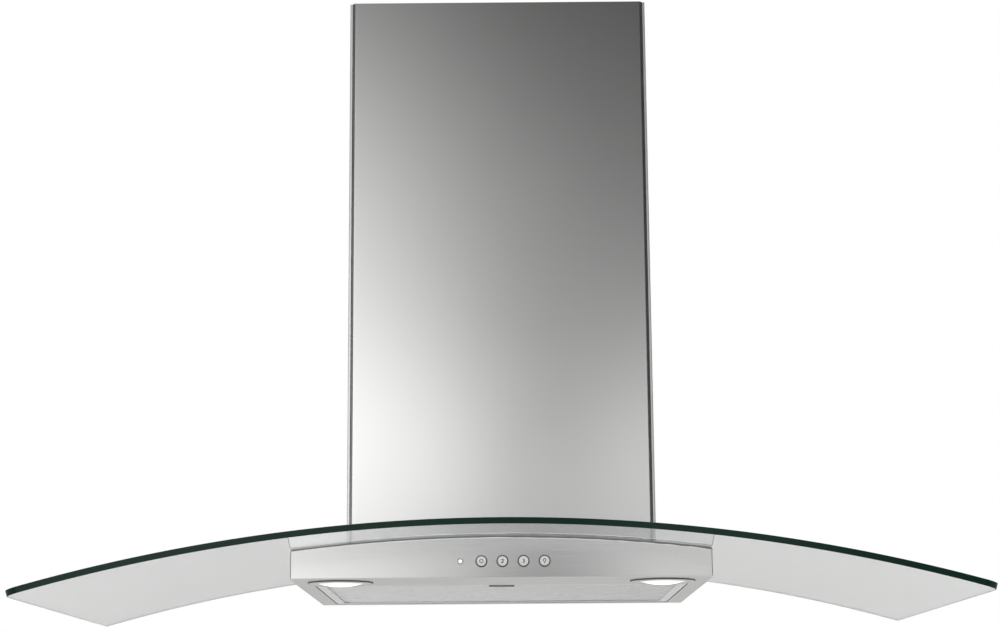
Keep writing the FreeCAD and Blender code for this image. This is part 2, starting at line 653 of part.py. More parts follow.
def latch_spring():
    """Coil spring behind the latch, cut square at both ends."""
    length = SPRING_ROOM + LATCH_TRAVEL - 1.6
    wire_path = Part.makeHelix(length / SPRING_TURNS, length, SPRING_R)
    start = V(SPRING_R, 0, 0)
    section = Part.Wire(Part.makeCircle(SPRING_WIRE_R, start, V(0, 1, 0.4)))
    coil = Part.Wire(wire_path.Edges).makePipeShell([section], True, True)
    coil.rotate(V(), X_AXIS, -90)
    coil.translate(V(0, LATCH_Y0 + LATCH_DEPTH + 0.5, FILTER_Z + 4.0))
    return coil


# ---- blower tower ------------------------------------------------------------------------------
COLLAR_HOLE_R = COLLAR_R - COLLAR_WALL
GLAND_X = -105.0
GLAND_Y = -200.0
GLAND_BORE = 4.5
GLAND_BODY_R = 6.9
GLAND_NUT_R = 11.0
GLAND_LENGTH = 26.0
GLAND_INSIDE = 8.0           # length inside the tower


def tower_screw_places():
    """Four screws that hold the tower to the deck."""
    return [(side * (TOWER_HALF_W - 6.5), y) for side in (-1, 1) for y in (-195.0, -45.0)]


def blower_tower():
    """Steel box, open below, with flanges on the deck, wall holes behind and the outlet on top."""
    outer = box(-TOWER_HALF_W, TOWER_HALF_W, -TOWER_DEPTH, 0, UNDER_Z + 10, TOWER_TOP_Z)
    inner = box(-TOWER_HALF_W + TOWER_SHEET, TOWER_HALF_W - TOWER_SHEET, -TOWER_DEPTH + TOWER_SHEET,
                -TOWER_SHEET, UNDER_Z, TOWER_TOP_Z - TOWER_SHEET)
    below = arch_block(200, UNDER_Z - 5, -SEAL_THICK, -300, 20)
    walls = outer.cut(inner).cut(below)
    band = arch_slab(TOWER_HALF_W - 0.5, -SEAL_THICK, -SEAL_THICK + TOWER_SHEET,
                     -TOWER_DEPTH + 0.5, BODY_REAR_Y)
    hollow = TOWER_HALF_W - THROAT_MARGIN
    flanges = band.cut(box(-hollow, hollow, -TOWER_DEPTH - 5, 5, UNDER_Z, APEX_Z + 10))
    tower = union([walls, flanges])
    tower = bore(tower, COLLAR_HOLE_R, V(0, COLLAR_Y, TOWER_TOP_Z), Z_AXIS, 2 * TOWER_SHEET)
    tower = bore(tower, GLAND_BODY_R + 0.1, V(GLAND_X, GLAND_Y, TOWER_TOP_Z), Z_AXIS, 2 * TOWER_SHEET)
    for x, z in wall_hole_places():
        tower = bore(tower, WALL_HOLE_R, V(x, 0, z), Y_AXIS, 2 * TOWER_SHEET)
    for x, y in tower_screw_places():
        tower = bore(tower, M4_R, V(x, y, APEX_Z), Z_AXIS)
    return tower


def wall_hole_places():
    """Rectangle of wall screws about the origin."""
    return [(sx * WALL_HOLE_X, sz * WALL_HOLE_Z) for sx in (-1, 1) for sz in (-1, 1)]


def tower_screws():
    """Screws through the tower's flanges into the deck."""
    out = []
    for x, y in tower_screw_places():
        top = arch_z(abs(x) - 4, -SEAL_THICK + TOWER_SHEET) + 0.1
        out.append(union([rod(M4_HEAD_R, 2.4, V(x, y, top), Z_AXIS), rod(M4_R, 8, V(x, y, top - 8), Z_AXIS)]))
    return group(out)


def spiral_face(offset, top):
    """Scroll outline in the fan's YZ plane: three quarter arcs and a straight outlet."""
    half = SPIRAL_STEP / 2
    centres = [(-half, -half), (half, -half), (half, half)]
    radii = [SPIRAL_R + offset + SPIRAL_STEP * quarter for quarter in range(3)]
    left = OUTLET_LEFT - offset
    start = math.acos((left - centres[0][0]) / radii[0])

    def at(index, angle):
        u = centres[index][0] + radii[index] * math.cos(angle)
        v = centres[index][1] + radii[index] * math.sin(angle)
        return V(0, FAN_Y + u, FAN_Z + v)

    quarter = math.pi / 2
    spans = [(start, math.pi), (math.pi, 3 * quarter), (3 * quarter, 4 * quarter)]
    edges = [Part.Arc(at(i, a), at(i, (a + b) / 2), at(i, b)).toShape() for i, (a, b) in enumerate(spans)]
    first, last = at(0, start), at(2, 4 * quarter)
    high_right = V(0, last.y, top)
    high_left = V(0, first.y, top)
    edges += [line(last, high_right), line(high_right, high_left), line(high_left, first)]
    return Part.Face(Part.Wire(edges))


def scroll_half(side):
    """One half of the scroll, split at the middle plane, with its inlet and mounting feet."""
    top = TOWER_TOP_Z - TOWER_SHEET
    width = SCROLL_HALF_W + SCROLL_WALL
    outer = spiral_face(SCROLL_WALL, top).extrude(V(side * width, 0, 0))
    inner = spiral_face(0, top + 2).extrude(V(side * SCROLL_HALF_W, 0, 0))
    inlet = rod(IMPELLER_R - 11, 20, V(side * (SCROLL_HALF_W - 6), FAN_Y, FAN_Z), V(side, 0, 0))
    lip = tube(IMPELLER_R - 7, IMPELLER_R - 11, 5, V(side * (width - 0.5), FAN_Y, FAN_Z), V(side, 0, 0))
    return union([outer.cut(inner).cut(inlet), lip])


def impeller():
    """Double-inlet wheel: middle disc, forward-curved blades, end rings and hub."""
    def at(x, radius):
        return V(x, FAN_Y + radius, FAN_Z)

    centre = V(0, FAN_Y, FAN_Z)
    disc = rod(IMPELLER_R, 2, centre - V(1, 0, 0), X_AXIS)
    hub = rod(13, 24, centre - V(12, 0, 0), X_AXIS)
    rings = [tube(IMPELLER_R, IMPELLER_R - 4, 2.5, centre + V(x, 0, 0), X_AXIS)
             for x in (-IMPELLER_HALF_W, IMPELLER_HALF_W - 2.5)]
    length = 2 * IMPELLER_HALF_W - 1
    inner_r, outer_r = IMPELLER_R - 13, IMPELLER_R - 0.6
    blades = []
    for step in range(BLADES):
        blade = box(-length / 2, length / 2, FAN_Y + inner_r, FAN_Y + outer_r, FAN_Z - 0.6, FAN_Z + 0.6)
        blade.rotate(at(0, inner_r), X_AXIS, 18)
        blade.rotate(centre, X_AXIS, 360.0 * step / BLADES)
        blades.append(blade)
    keep = rod(IMPELLER_R, length + 4, centre - V(length / 2 + 2, 0, 0), X_AXIS)
    wheel = union([disc, hub] + rings + blades).common(keep)
    return bore(wheel, SHAFT_R, centre, X_AXIS)


MOTOR_X0 = 59.0
MOTOR_LENGTH = 50.0
MOTOR_R = 38.0
BOSS_R = 11.0
SPIDER_X = 57.0
SPIDER_HUB_R = 26.0
BUSH_ANGLES = (90.0, 210.0, 330.0)
BUSH_R_PLACE = 80.0
BUSH_R = 7.0


def motor_shaft():
    """Shaft through the wheel's hub and the motor."""
    return rod(SHAFT_R, MOTOR_X0 + MOTOR_LENGTH + 18, V(-14, FAN_Y, FAN_Z), X_AXIS)


def blower_motor():
    """Motor can with end bosses and a running bore."""
    base = V(MOTOR_X0, FAN_Y, FAN_Z)
    can = rod(MOTOR_R, MOTOR_LENGTH, base, X_AXIS)
    can = can.makeFillet(5, [edge for edge in can.Edges if edge.BoundBox.XLength < 1e-6])
    boss = rod(BOSS_R, MOTOR_LENGTH + 5, base, X_AXIS)
    return bore(union([can, boss]), SHAFT_R + RUN_CLEAR, base, X_AXIS, 2 * MOTOR_LENGTH)


def bush_centre(angle, x):
    """Place of a rubber bush around the fan axis."""
    turn = math.radians(angle)
    return V(x, FAN_Y + BUSH_R_PLACE * math.cos(turn), FAN_Z + BUSH_R_PLACE * math.sin(turn))


def motor_spider():
    """Three arms from the motor's front to the rubber bushes."""
    hub = rod(SPIDER_HUB_R, MOTOR_X0 - SPIDER_X, V(SPIDER_X, FAN_Y, FAN_Z), X_AXIS)
    parts = [hub]
    for angle in BUSH_ANGLES:
        arm = box(SPIDER_X, MOTOR_X0, FAN_Y, FAN_Y + BUSH_R_PLACE, FAN_Z - 6, FAN_Z + 6)
        arm.rotate(V(0, FAN_Y, FAN_Z), X_AXIS, angle)
        parts += [arm, rod(BUSH_R + 2, MOTOR_X0 - SPIDER_X, bush_centre(angle, SPIDER_X), X_AXIS)]
    spider = union(parts)
    for angle in BUSH_ANGLES:
        spider = bore(spider, M4_CLEAR_R, bush_centre(angle, SPIDER_X), X_AXIS)
    return bore(spider, BOSS_R - 1, V(SPIDER_X, FAN_Y, FAN_Z), X_AXIS)


def motor_bushes():
    """Rubber bushes between scroll and spider."""
    x0 = SCROLL_HALF_W + SCROLL_WALL
    length = SPIDER_X - x0
    return group([tube(BUSH_R, M4_CLEAR_R, length, bush_centre(angle, x0), X_AXIS) for angle in BUSH_ANGLES])


def motor_screws():
    """Screws through spider and bushes into the scroll."""
    out = []
    for angle in BUSH_ANGLES:
        end = bush_centre(angle, MOTOR_X0)
        length = MOTOR_X0 - SCROLL_HALF_W - SCROLL_WALL
        stem = rod(M4_R, length, end - X_AXIS * length, X_AXIS)
        out.append(union([rod(M4_HEAD_R, 2.5, end, X_AXIS), stem]))
    return group(out)


def run_capacitor():
    """Capacitor on the tower's rear wall."""
    can = rod(15, 62, V(-100, -17, FAN_Z - 20), Z_AXIS)
    clip = box(-108, -92, -4, -TOWER_SHEET, FAN_Z - 10, FAN_Z + 30)
    return union([can, clip])


TERMINAL_X0, TERMINAL_X1 = -TOWER_HALF_W + TOWER_SHEET, -80.0
TERMINAL_Y0, TERMINAL_Y1 = -TOWER_DEPTH + TOWER_SHEET, -178.0
TERMINAL_Z0 = TOWER_TOP_Z - 70.0
TERMINAL_Z1 = TOWER_TOP_Z - 36.0


def terminal_box():
    """Open-fronted box for the mains terminals."""
    shell = box(TERMINAL_X0, TERMINAL_X1, TERMINAL_Y0, TERMINAL_Y1, TERMINAL_Z0, TERMINAL_Z1)
    hollow = box(TERMINAL_X0 + 2, TERMINAL_X1 - 2, TERMINAL_Y0 + 2, TERMINAL_Y1 + 1,
                 TERMINAL_Z0 + 2, TERMINAL_Z1 - 2)
    return bore(shell.cut(hollow), GLAND_BORE + 0.5, V(GLAND_X, GLAND_Y, TERMINAL_Z1), Z_AXIS, 5)


def terminal_lid():
    """Lid of the terminal box."""
    plate = box(TERMINAL_X0, TERMINAL_X1, TERMINAL_Y1, TERMINAL_Y1 + 2, TERMINAL_Z0, TERMINAL_Z1)
    return plate.makeFillet(0.6, [edge for edge in plate.Edges if edge.BoundBox.YMin > TERMINAL_Y1 + 1.9])


def cable_gland():
    """Gland for the mains lead, on top of the tower."""
    base = V(GLAND_X, GLAND_Y, TOWER_TOP_Z)
    body = rod(GLAND_BODY_R, GLAND_LENGTH, base - Z_AXIS * GLAND_INSIDE, Z_AXIS)
    return bore(union([hexagon(GLAND_NUT_R, 6, base), body]), GLAND_BORE, base, Z_AXIS)


# ---- outlet collar and flaps -------------------------------------------------------------------
FLAP_Z = TOWER_TOP_Z + 9.0
FLAP_AXIS_GAP = 4.0
FLAP_THICK = 1.5
FLAP_PIN_R = 1.5


def outlet_collar():
    """Round collar with a base flange, pin holes and a stop ledge for the flaps."""
    base = V(0, COLLAR_Y, TOWER_TOP_Z)
    flange = rod(COLLAR_R + 7, 2, base, Z_AXIS)
    wall = rod(COLLAR_R, COLLAR_HEIGHT, base, Z_AXIS)
    collar = bore(union([flange, wall]), COLLAR_HOLE_R, base, Z_AXIS, 2 * COLLAR_HEIGHT)
    ledge = tube(COLLAR_R - COLLAR_WALL, COLLAR_R - COLLAR_WALL - 4, 2,
                 V(0, COLLAR_Y, FLAP_Z - FLAP_THICK / 2 - 2.4), Z_AXIS)
    barrel_room = FLAP_AXIS_GAP + 4
    ledge = ledge.cut(box(-COLLAR_R, COLLAR_R, COLLAR_Y - barrel_room, COLLAR_Y + barrel_room,
                          TOWER_TOP_Z, FLAP_Z + 5))
    collar = union([collar, ledge])
    for sy in (-1, 1):
        axis_start = V(-COLLAR_R - 2, COLLAR_Y + sy * FLAP_AXIS_GAP, FLAP_Z)
        collar = collar.cut(rod(FLAP_PIN_R + RUN_CLEAR, 2 * COLLAR_R + 4, axis_start, X_AXIS))
    return collar


def damper_flap(sy):
    """Half-moon flap with a stub pin at each end; sy is -1 for the front one."""
    radius = COLLAR_R - COLLAR_WALL - FLAP_CLEAR
    axis_y = COLLAR_Y + sy * FLAP_AXIS_GAP
    disc = rod(radius, FLAP_THICK, V(0, COLLAR_Y, FLAP_Z - FLAP_THICK / 2), Z_AXIS)
    near, far = sorted((axis_y, axis_y + sy * 2 * radius))
    blade = disc.common(box(-radius, radius, near, far, FLAP_Z - 5, FLAP_Z + 5))
    half = math.sqrt(radius ** 2 - FLAP_AXIS_GAP ** 2) - 0.6
    barrel = rod(2.2, 2 * half, V(-half, axis_y, FLAP_Z), X_AXIS)
    pin_half = COLLAR_R - 0.8
    pin = rod(FLAP_PIN_R, 2 * pin_half, V(-pin_half, axis_y, FLAP_Z), X_AXIS)
    return union([blade, barrel, pin])


# ---- chimney -----------------------------------------------------------------------------------
VALLEY_BEND = 0.5            # bend between the step and the corner strip
CHIMNEY_FLANGE = 11.0        # rear flanges, against the wall
CEILING_SCREW_Y = -40.0
CEILING_SCREW_Z = UPPER_TOP_Z - 16.0


def chimney_prism(inset, y_rear, z0, z1):
    """Solid prism of the stepped chimney section, inset by a sheet."""
    half = CHIMNEY_HALF - inset
    front = -CHIMNEY_DEPTH + inset
    strip_y = front + CHIMNEY_STEP
    strip_x = CHIMNEY_HALF - CHIMNEY_BEND - CHIMNEY_STRIP - inset * math.tan(math.pi / 8)
    right = [
        (V(strip_x - CHIMNEY_STEP, front, z0), PANEL_BEND - inset),
        (V(strip_x, strip_y, z0), VALLEY_BEND + inset),
        (V(half, strip_y, z0), CHIMNEY_BEND - inset),
        (V(half, y_rear, z0), 0),
    ]
    left = [(V(-corner.x, corner.y, z0), radius) for corner, radius in reversed(right)]
    return Part.Face(bent_outline(right + left)).extrude(V(0, 0, z1 - z0))


def lower_chimney():
    """Three-sided cover with stepped front corners, its lower edge scribed to the glass."""
    z0 = APEX_Z - 10
    cover = chimney_prism(0, 0, z0, CHIMNEY_TOP_Z).cut(chimney_prism(SHEET, 5, z0 - 1, CHIMNEY_TOP_Z + 1))
    flanges = []
    for side in (-1, 1):
        low, high = sorted((side * (CHIMNEY_HALF - SHEET / 2), side * (CHIMNEY_HALF - CHIMNEY_FLANGE)))
        flanges.append(box(low, high, -SHEET, 0, z0, CHIMNEY_TOP_Z))
    cover = union([cover] + flanges)
    cover = cover.cut(arch_block(BODY_HALF, UNDER_Z, GLASS_THICK + CHIMNEY_LIFT, -GLASS_DEPTH, 20))
    return bore(cover, M4_R, V(0, BRACKET_MIDDLE_Y, CHIMNEY_SCREW_Z), X_AXIS, CHIMNEY_WIDTH)


SLOT_COUNT = 6
SLOT_PITCH = 14.0
SLOT_HALF_LENGTH = 40.0
SLOT_HALF_HEIGHT = 2.5


def upper_chimney():
    """Plain three-sided cover that slides inside the lower one, with air slots near its top."""
    outer = box(-UPPER_HALF, UPPER_HALF, UPPER_FRONT_Y, UPPER_REAR_Y, UPPER_BOTTOM_Z, UPPER_TOP_Z)
    inner = box(-UPPER_HALF + UPPER_SHEET, UPPER_HALF - UPPER_SHEET, UPPER_FRONT_Y + UPPER_SHEET,
                UPPER_REAR_Y + 1, UPPER_BOTTOM_Z - 1, UPPER_TOP_Z + 1)
    cover = outer.cut(inner)
    centre_y = (UPPER_FRONT_Y + UPPER_REAR_Y) / 2
    for step in range(SLOT_COUNT):
        z = UPPER_TOP_Z - 60 - step * SLOT_PITCH
        cover = cover.cut(box(-200, 200, centre_y - SLOT_HALF_LENGTH, centre_y + SLOT_HALF_LENGTH,
                              z - SLOT_HALF_HEIGHT, z + SLOT_HALF_HEIGHT))
    for side in (-1, 1):
        screw = V(side * UPPER_HALF, CEILING_SCREW_Y, CEILING_SCREW_Z)
        cover = bore(cover, BRACKET_SCREW_R, screw, X_AXIS, 3)
    return cover


def ceiling_bracket():
    """U-shaped wall bracket inside the top of the upper chimney."""
    half = UPPER_HALF - UPPER_SHEET - 0.1
    z0, z1 = UPPER_TOP_Z - 30, UPPER_TOP_Z - 2
    outer = box(-half, half, -60, -4, z0, z1)
    inner = box(-half + 2, half - 2, -61, -6, z0 - 1, z1 + 1)
    z_mid = (z0 + z1) / 2
    spacers = [rod(8, 4.5, V(side * CEILING_HOLE_X, -4.5, z_mid), Y_AXIS) for side in (-1, 1)]
    bracket = union([outer.cut(inner)] + spacers)
    for side in (-1, 1):
        bracket = bore(bracket, CEILING_HOLE_R, V(side * CEILING_HOLE_X, 0, z_mid), Y_AXIS, 10)
        bracket = bore(bracket, BRACKET_SCREW_R, V(side * half, CEILING_SCREW_Y, CEILING_SCREW_Z), X_AXIS, 4)
    return bracket


def ceiling_screws():
    """Screws from the upper chimney into its bracket."""
    out = []
    for side in (-1, 1):
        face = V(side * UPPER_HALF, CEILING_SCREW_Y, CEILING_SCREW_Z)
        out.append(side_screw(face, side, BRACKET_SCREW_R, 3.4, 1.2))
    return group(out)


def side_screw(face, side, stem_r, head_r, head_height):
    """Pan-head screw that goes inwards through a side wall."""
    outwards = V(side, 0, 0)
    return union([rod(head_r, head_height, face, outwards), rod(stem_r, 8, face, -outwards)])


def chimney_screws():
    """Screws from the lower chimney into the canopy brackets."""
    out = []
    for side in (-1, 1):
        face = V(side * CHIMNEY_HALF, BRACKET_MIDDLE_Y, CHIMNEY_SCREW_Z)
        out.append(side_screw(face, side, M4_R, M4_HEAD_R, 1.6))
    return group(out)


# ---- internal leads ----------------------------------------------------------------------------
LEAD_R = 2.0
LEAD_GRIP = 0.8              # how far a lead's end goes into what holds it


def lamp_lead(side):
    """Lead from a lamp module through the throat to the terminal box."""
    run_z = UNDER_Z + 19.6
    shift = 8 * side
    return lead([
        V(side * (LAMP_X - LAMP_CORE_R + 1), LAMP_Y, run_z),
        V(side * (LAMP_X - 42), LAMP_Y + 6, run_z),
        V(side * 94, LAMP_Y + 40, run_z + 1),
        V(-34 + 2 * shift, LAMP_Y + 90, run_z + 4),
        V(-76 + shift, -209, APEX_Z - 8),
        V(-84 + shift, -204, APEX_Z + 50),
        V(-92 + shift, -206, TERMINAL_Z0 - 30),
        V(-100 + shift, -203, TERMINAL_Z0 + LEAD_GRIP),
    ], LEAD_R)


def control_lead():
    """Bundle of switch wires, drawn as one round lead, from the switch block to the terminal box."""
    start = V(10, SWITCH_REAR_Y - LEAD_GRIP, CONTROL_LINE_Z + 4)
    return lead([
        start,
        start + V(0, 26, 0),
        V(-4, SWITCH_REAR_Y + 62, UNDER_Z + 31),
        V(-30, -262, UNDER_Z + 32),
        V(-50, -204, UNDER_Z + 34),
        V(-61, -190, APEX_Z + 24),
        V(-70, -196, APEX_Z + 84),
        V(-78, -214, TERMINAL_Z0 - 28),
        V(-84, -221, TERMINAL_Z0 + LEAD_GRIP),
    ], LEAD_R)


def motor_lead():
    """Lead from the motor across the tower's front to the terminal box."""
    y_front = -TOWER_DEPTH + 9
    return lead([
        V(90, FAN_Y, FAN_Z + MOTOR_R - LEAD_GRIP),
        V(90, FAN_Y - 6, FAN_Z + MOTOR_R + 30),
        V(84, FAN_Y - 36, FAN_Z + MOTOR_R + 52),
        V(66, y_front + 10, FAN_Z + MOTOR_R + 48),
        V(20, y_front, TERMINAL_Z0 + 12),
        V(-36, y_front + 2, TERMINAL_Z0 + 20),
        V(TERMINAL_X1 - LEAD_GRIP, y_front + 16, TERMINAL_Z0 + 16),
    ], LEAD_R)


# ---- write every node --------------------------------------------------------------------------
SINGLE_NODES = {
    "glass_canopy": glass_canopy, "glass_pads": glass_pads, "glass_screws": glass_screws,
    "glass_nuts": glass_nuts, "glass_seal": glass_seal, "hood_body": hood_body,
    "control_fascia": control_fascia, "fascia_screws": fascia_screws, "bottom_frame": bottom_frame,
    "button_bezels": button_bezels, "pilot_lens": pilot_lens, "switch_block": switch_block,
    "filter_frame": filter_frame, "filter_mesh": filter_mesh, "filter_pins": filter_pins,
    "filter_latch": filter_latch, "latch_spring": latch_spring, "blower_tower": blower_tower,
    "tower_screws": tower_screws, "impeller": impeller, "motor_shaft": motor_shaft,
    "blower_motor": blower_motor, "motor_spider": motor_spider, "motor_bushes": motor_bushes,
    "motor_screws": motor_screws, "run_capacitor": run_capacitor, "terminal_box": terminal_box,
    "terminal_lid": terminal_lid, "cable_gland": cable_gland, "outlet_collar": outlet_collar,
    "lower_chimney": lower_chimney, "upper_chimney": upper_chimney, "ceiling_bracket": ceiling_bracket,
    "ceiling_screws": ceiling_screws, "chimney_screws": chimney_screws, "control_lead": control_lead,
    "motor_lead": motor_lead,
}
PAIRED_NODES = {
    "canopy_bracket": canopy_bracket, "lamp_bezel": lamp_bezel, "lamp_gasket": lamp_gasket,
    "lamp_lens": lamp_lens, "lamp_module": lamp_module, "lamp_lead": lamp_lead, "scroll_half": scroll_half,
}
BUTTON_NAMES = ["button_ring", "button_two", "button_three", "button_lamp"]

for node, make in SINGLE_NODES.items():
    save(node, make())
for node, make in PAIRED_NODES.items():
    save(node + "_left", make(-1))
    save(node + "_right", make(1))
for node, place in zip(BUTTON_NAMES, BUTTON_XS):
    save(node, button(place))
save("damper_flap_front", damper_flap(-1))
save("damper_flap_rear", damper_flap(1))
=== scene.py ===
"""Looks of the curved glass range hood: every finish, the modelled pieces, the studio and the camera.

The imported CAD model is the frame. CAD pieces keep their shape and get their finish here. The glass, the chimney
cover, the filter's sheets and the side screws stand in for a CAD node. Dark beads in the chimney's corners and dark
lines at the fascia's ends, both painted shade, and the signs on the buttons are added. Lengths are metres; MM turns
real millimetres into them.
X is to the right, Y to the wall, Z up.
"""
import logging
import math
from dataclasses import dataclass, field
from enum import Enum
from typing import Any, Sequence

import bmesh
import bpy
import numpy as np
from mathutils import Matrix, Vector


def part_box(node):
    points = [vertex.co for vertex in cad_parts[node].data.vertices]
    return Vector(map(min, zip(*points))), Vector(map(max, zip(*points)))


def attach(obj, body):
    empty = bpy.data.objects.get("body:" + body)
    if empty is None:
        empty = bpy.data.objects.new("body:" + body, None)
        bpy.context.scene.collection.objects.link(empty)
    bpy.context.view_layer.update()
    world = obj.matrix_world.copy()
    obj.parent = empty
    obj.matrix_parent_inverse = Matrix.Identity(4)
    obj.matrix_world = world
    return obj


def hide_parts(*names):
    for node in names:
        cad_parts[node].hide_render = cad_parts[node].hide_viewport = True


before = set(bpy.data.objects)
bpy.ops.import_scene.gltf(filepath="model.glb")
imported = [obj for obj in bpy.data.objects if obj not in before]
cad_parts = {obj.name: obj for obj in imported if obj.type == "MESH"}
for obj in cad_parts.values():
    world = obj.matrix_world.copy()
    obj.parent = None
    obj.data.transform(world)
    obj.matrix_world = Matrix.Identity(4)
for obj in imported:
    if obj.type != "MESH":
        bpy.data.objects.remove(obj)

LOG = logging.getLogger("range_hood")
MM = 0.001
PHOTO_WIDTH_PX = 1000
WHITE = (1.0, 1.0, 1.0, 1.0)
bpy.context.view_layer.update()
Point = tuple[float, float, float]
Socket = bpy.types.NodeSocket
SIDES = ((-1, "left"), (1, "right"))


class Axis(Enum):
    """A direction along the frame's own axes."""

    X = 0
    Y = 1
    Z = 2


# ---- small helpers
def linear(colour: str) -> tuple[float, float, float, float]:
    """Turn an sRGB hex colour into the linear values that shaders take.

    Args:
        colour: six hex digits, red first.

    Returns:
        Linear red, green and blue, and an alpha of 1.
    """
    shares = [int(colour[start:start + 2], 16) / 255 for start in (0, 2, 4)]
    red, green, blue = (s / 12.92 if s <= 0.04045 else ((s + 0.055) / 1.055) ** 2.4 for s in shares)
    return red, green, blue, 1.0


def about(middle: float, reach: float) -> tuple[float, float]:
    """The two ends of a range, from its middle and its reach to each side."""
    return middle - reach, middle + reach


def glass_top(x: float) -> float:
    """Height of the canopy's upper face at a place from side to side."""
    radius = Canopy.arch_radius + Canopy.thickness
    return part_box("glass_canopy")[1].z - radius + math.sqrt(radius ** 2 - x ** 2)


@dataclass(frozen=True)
class Graph:
    """A node tree, with short calls for the nodes that come again and again."""

    tree: bpy.types.NodeTree

    def node(self, kind: str, inputs: dict[Any, Any] | None = None, **settings: Any) -> bpy.types.Node:
        """Add one node with its inputs and its settings.

        Args:
            kind: Blender's type name of the node.
            inputs: input names or indices, each with a value or with the output socket to link.
            settings: property names with their values.

        Returns:
            The new node.
        """
        node = self.tree.nodes.new(kind)
        for name, value in settings.items():
            setattr(node, name, value)
        for key, value in (inputs or {}).items():
            if isinstance(value, Socket):
                self.tree.links.new(value, node.inputs[key])
            else:
                node.inputs[key].default_value = value
        return node

    def out(self, kind: str, inputs: dict[Any, Any] | None = None, **settings: Any) -> Socket:
        """Add one node and return its first output."""
        return self.node(kind, inputs, **settings).outputs[0]

    def place(self) -> Socket:
        """Place on the object in metres."""
        return self.node("ShaderNodeTexCoord").outputs["Object"]

    def noise(self, place: Socket, size: float, detail: float = 2.0) -> Socket:
        """Soft pattern whose patches are about as large as the size, in metres."""
        return self.out("ShaderNodeTexNoise", {"Vector": place, "Scale": 1 / size, "Detail": detail})

    def maths(self, operation: str, *values: Any) -> Socket:
        """One number worked out from up to three values or sockets."""
        return self.out("ShaderNodeMath", dict(enumerate(values)), operation=operation)

    def spread(self, value: Socket, source: tuple[float, float], target: tuple[float, float] = (0.0, 1.0),
               smooth: bool = False) -> Socket:
        """Map one range of values onto another, and hold it at both ends.

        Args:
            value: what is mapped.
            source: first and last value of its own range.
            target: what they become.
            smooth: whether the change starts and ends gently.

        Returns:
            The mapped value.
        """
        inputs = dict(zip(("From Min", "From Max", "To Min", "To Max"), (*source, *target)))
        kind = "SMOOTHSTEP" if smooth else "LINEAR"
        return self.out("ShaderNodeMapRange", {"Value": value, **inputs}, interpolation_type=kind)

    def relief(self, height: Socket, strength: float, depth: float) -> Socket:
        """Surface direction over a pattern of the given depth in metres."""
        return self.out("ShaderNodeBump", {"Height": height, "Strength": strength, "Distance": depth})

    def mixed(self, share: Socket, first: Socket, second: Socket) -> Socket:
        """Two shaders, the second taking the given share."""
        return self.out("ShaderNodeMixShader", {0: share, 1: first, 2: second})

    def glow(self, level: Any) -> Socket:
        """White light of the given level."""
        return self.out("ShaderNodeEmission", {"Color": WHITE, "Strength": level})


@dataclass
class Draft:
    """Points and faces of a piece while it is being drawn."""

    points: list[Point] = field(default_factory=list)
    faces: list[Sequence[int]] = field(default_factory=list)

    def loft(self, rings: Sequence[Sequence[Point]], closed: bool = False, tip: Point | None = None) -> None:
        """Join rings of points, each with the same count, and close both ends.

        Args:
            rings: the rings in order.
            closed: whether the last ring joins the first one, so that there are no ends.
            tip: point that the first ring runs up to, in place of a flat end.
        """
        base, sides = len(self.points), len(rings[0])
        self.points += [tuple(point) for ring in rings for point in ring]
        for i in range(len(rings) if closed else len(rings) - 1):
            a, b = base + sides * i, base + sides * ((i + 1) % len(rings))
            for k in range(sides):
                after = (k + 1) % sides
                self.faces.append((a + k, a + after, b + after, b + k))
        if closed:
            return
        last = base + sides * (len(rings) - 1)
        self.faces.append(range(last, last + sides))
        if tip is None:
            self.faces.append(range(base, base + sides)[::-1])
            return
        self.faces += [(len(self.points), base + k, base + (k + 1) % sides) for k in range(sides)]
        self.points.append(tuple(tip))

    def piece(self, name: str, smooth: bool = True, sharp: float = 35.0) -> bpy.types.Object:
        """Make an object of the points and faces.

        Args:
            name: piece name.
            smooth: whether the faces are shaded smooth.
            sharp: an edge that turns more than this many degrees stays crisp.

        Returns:
            The linked object, at the origin.
        """
        mesh = bpy.data.meshes.new(name)
        mesh.from_pydata(self.points, [], [tuple(face) for face in self.faces])
        mesh.validate()
        work = bmesh.new()
        work.from_mesh(mesh)
        bmesh.ops.recalc_face_normals(work, faces=work.faces)
        for edge in work.edges:
            edge.smooth = edge.calc_face_angle(0.0) < math.radians(sharp)
        work.to_mesh(mesh)
        work.free()
        mesh.polygons.foreach_set("use_smooth", [smooth] * len(mesh.polygons))
        piece = bpy.data.objects.new(name, mesh)
        bpy.context.scene.collection.objects.link(piece)
        return piece


def settle(piece: bpy.types.Object, finish: "Finish | None", body: str,
           stands_for: str | None = None) -> None:
    """Dress a drawn piece, hang it on its body, and hide the CAD node that it stands for, if any.

    Args:
        piece: the piece.
        finish: its finish, or None where it has its materials already.
        body: body that it rides on.
        stands_for: CAD node that it replaces, if any.
    """
    if finish:
        finish.dress(piece)
    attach(piece, body)
    if stands_for:
        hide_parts(stands_for)
    LOG.info("%s: %d faces", piece.name, len(piece.data.polygons))


def even_shading(piece: bpy.types.Object, keep_sharp: bool = True) -> None:
    """Let each large face keep its own normal where it meets small ones.

    Args:
        piece: mesh object.
        keep_sharp: whether crisp edges stay crisp.
    """
    even = piece.modifiers.new("even_shading", "WEIGHTED_NORMAL")
    even.keep_sharp = keep_sharp
    even.weight = 80


def bevel_edges(piece: bpy.types.Object, width: float, angle: float) -> bpy.types.Modifier:
    """Round every edge that turns enough.

    Args:
        piece: mesh object.
        width: width of the round in metres.
        angle: edges that turn more than this many degrees are rounded.

    Returns:
        The bevel.
    """
    bevel = piece.modifiers.new("edge_round", "BEVEL")
    bevel.width, bevel.segments = width, 2
    bevel.limit_method, bevel.angle_limit = "ANGLE", math.radians(angle)
    return bevel


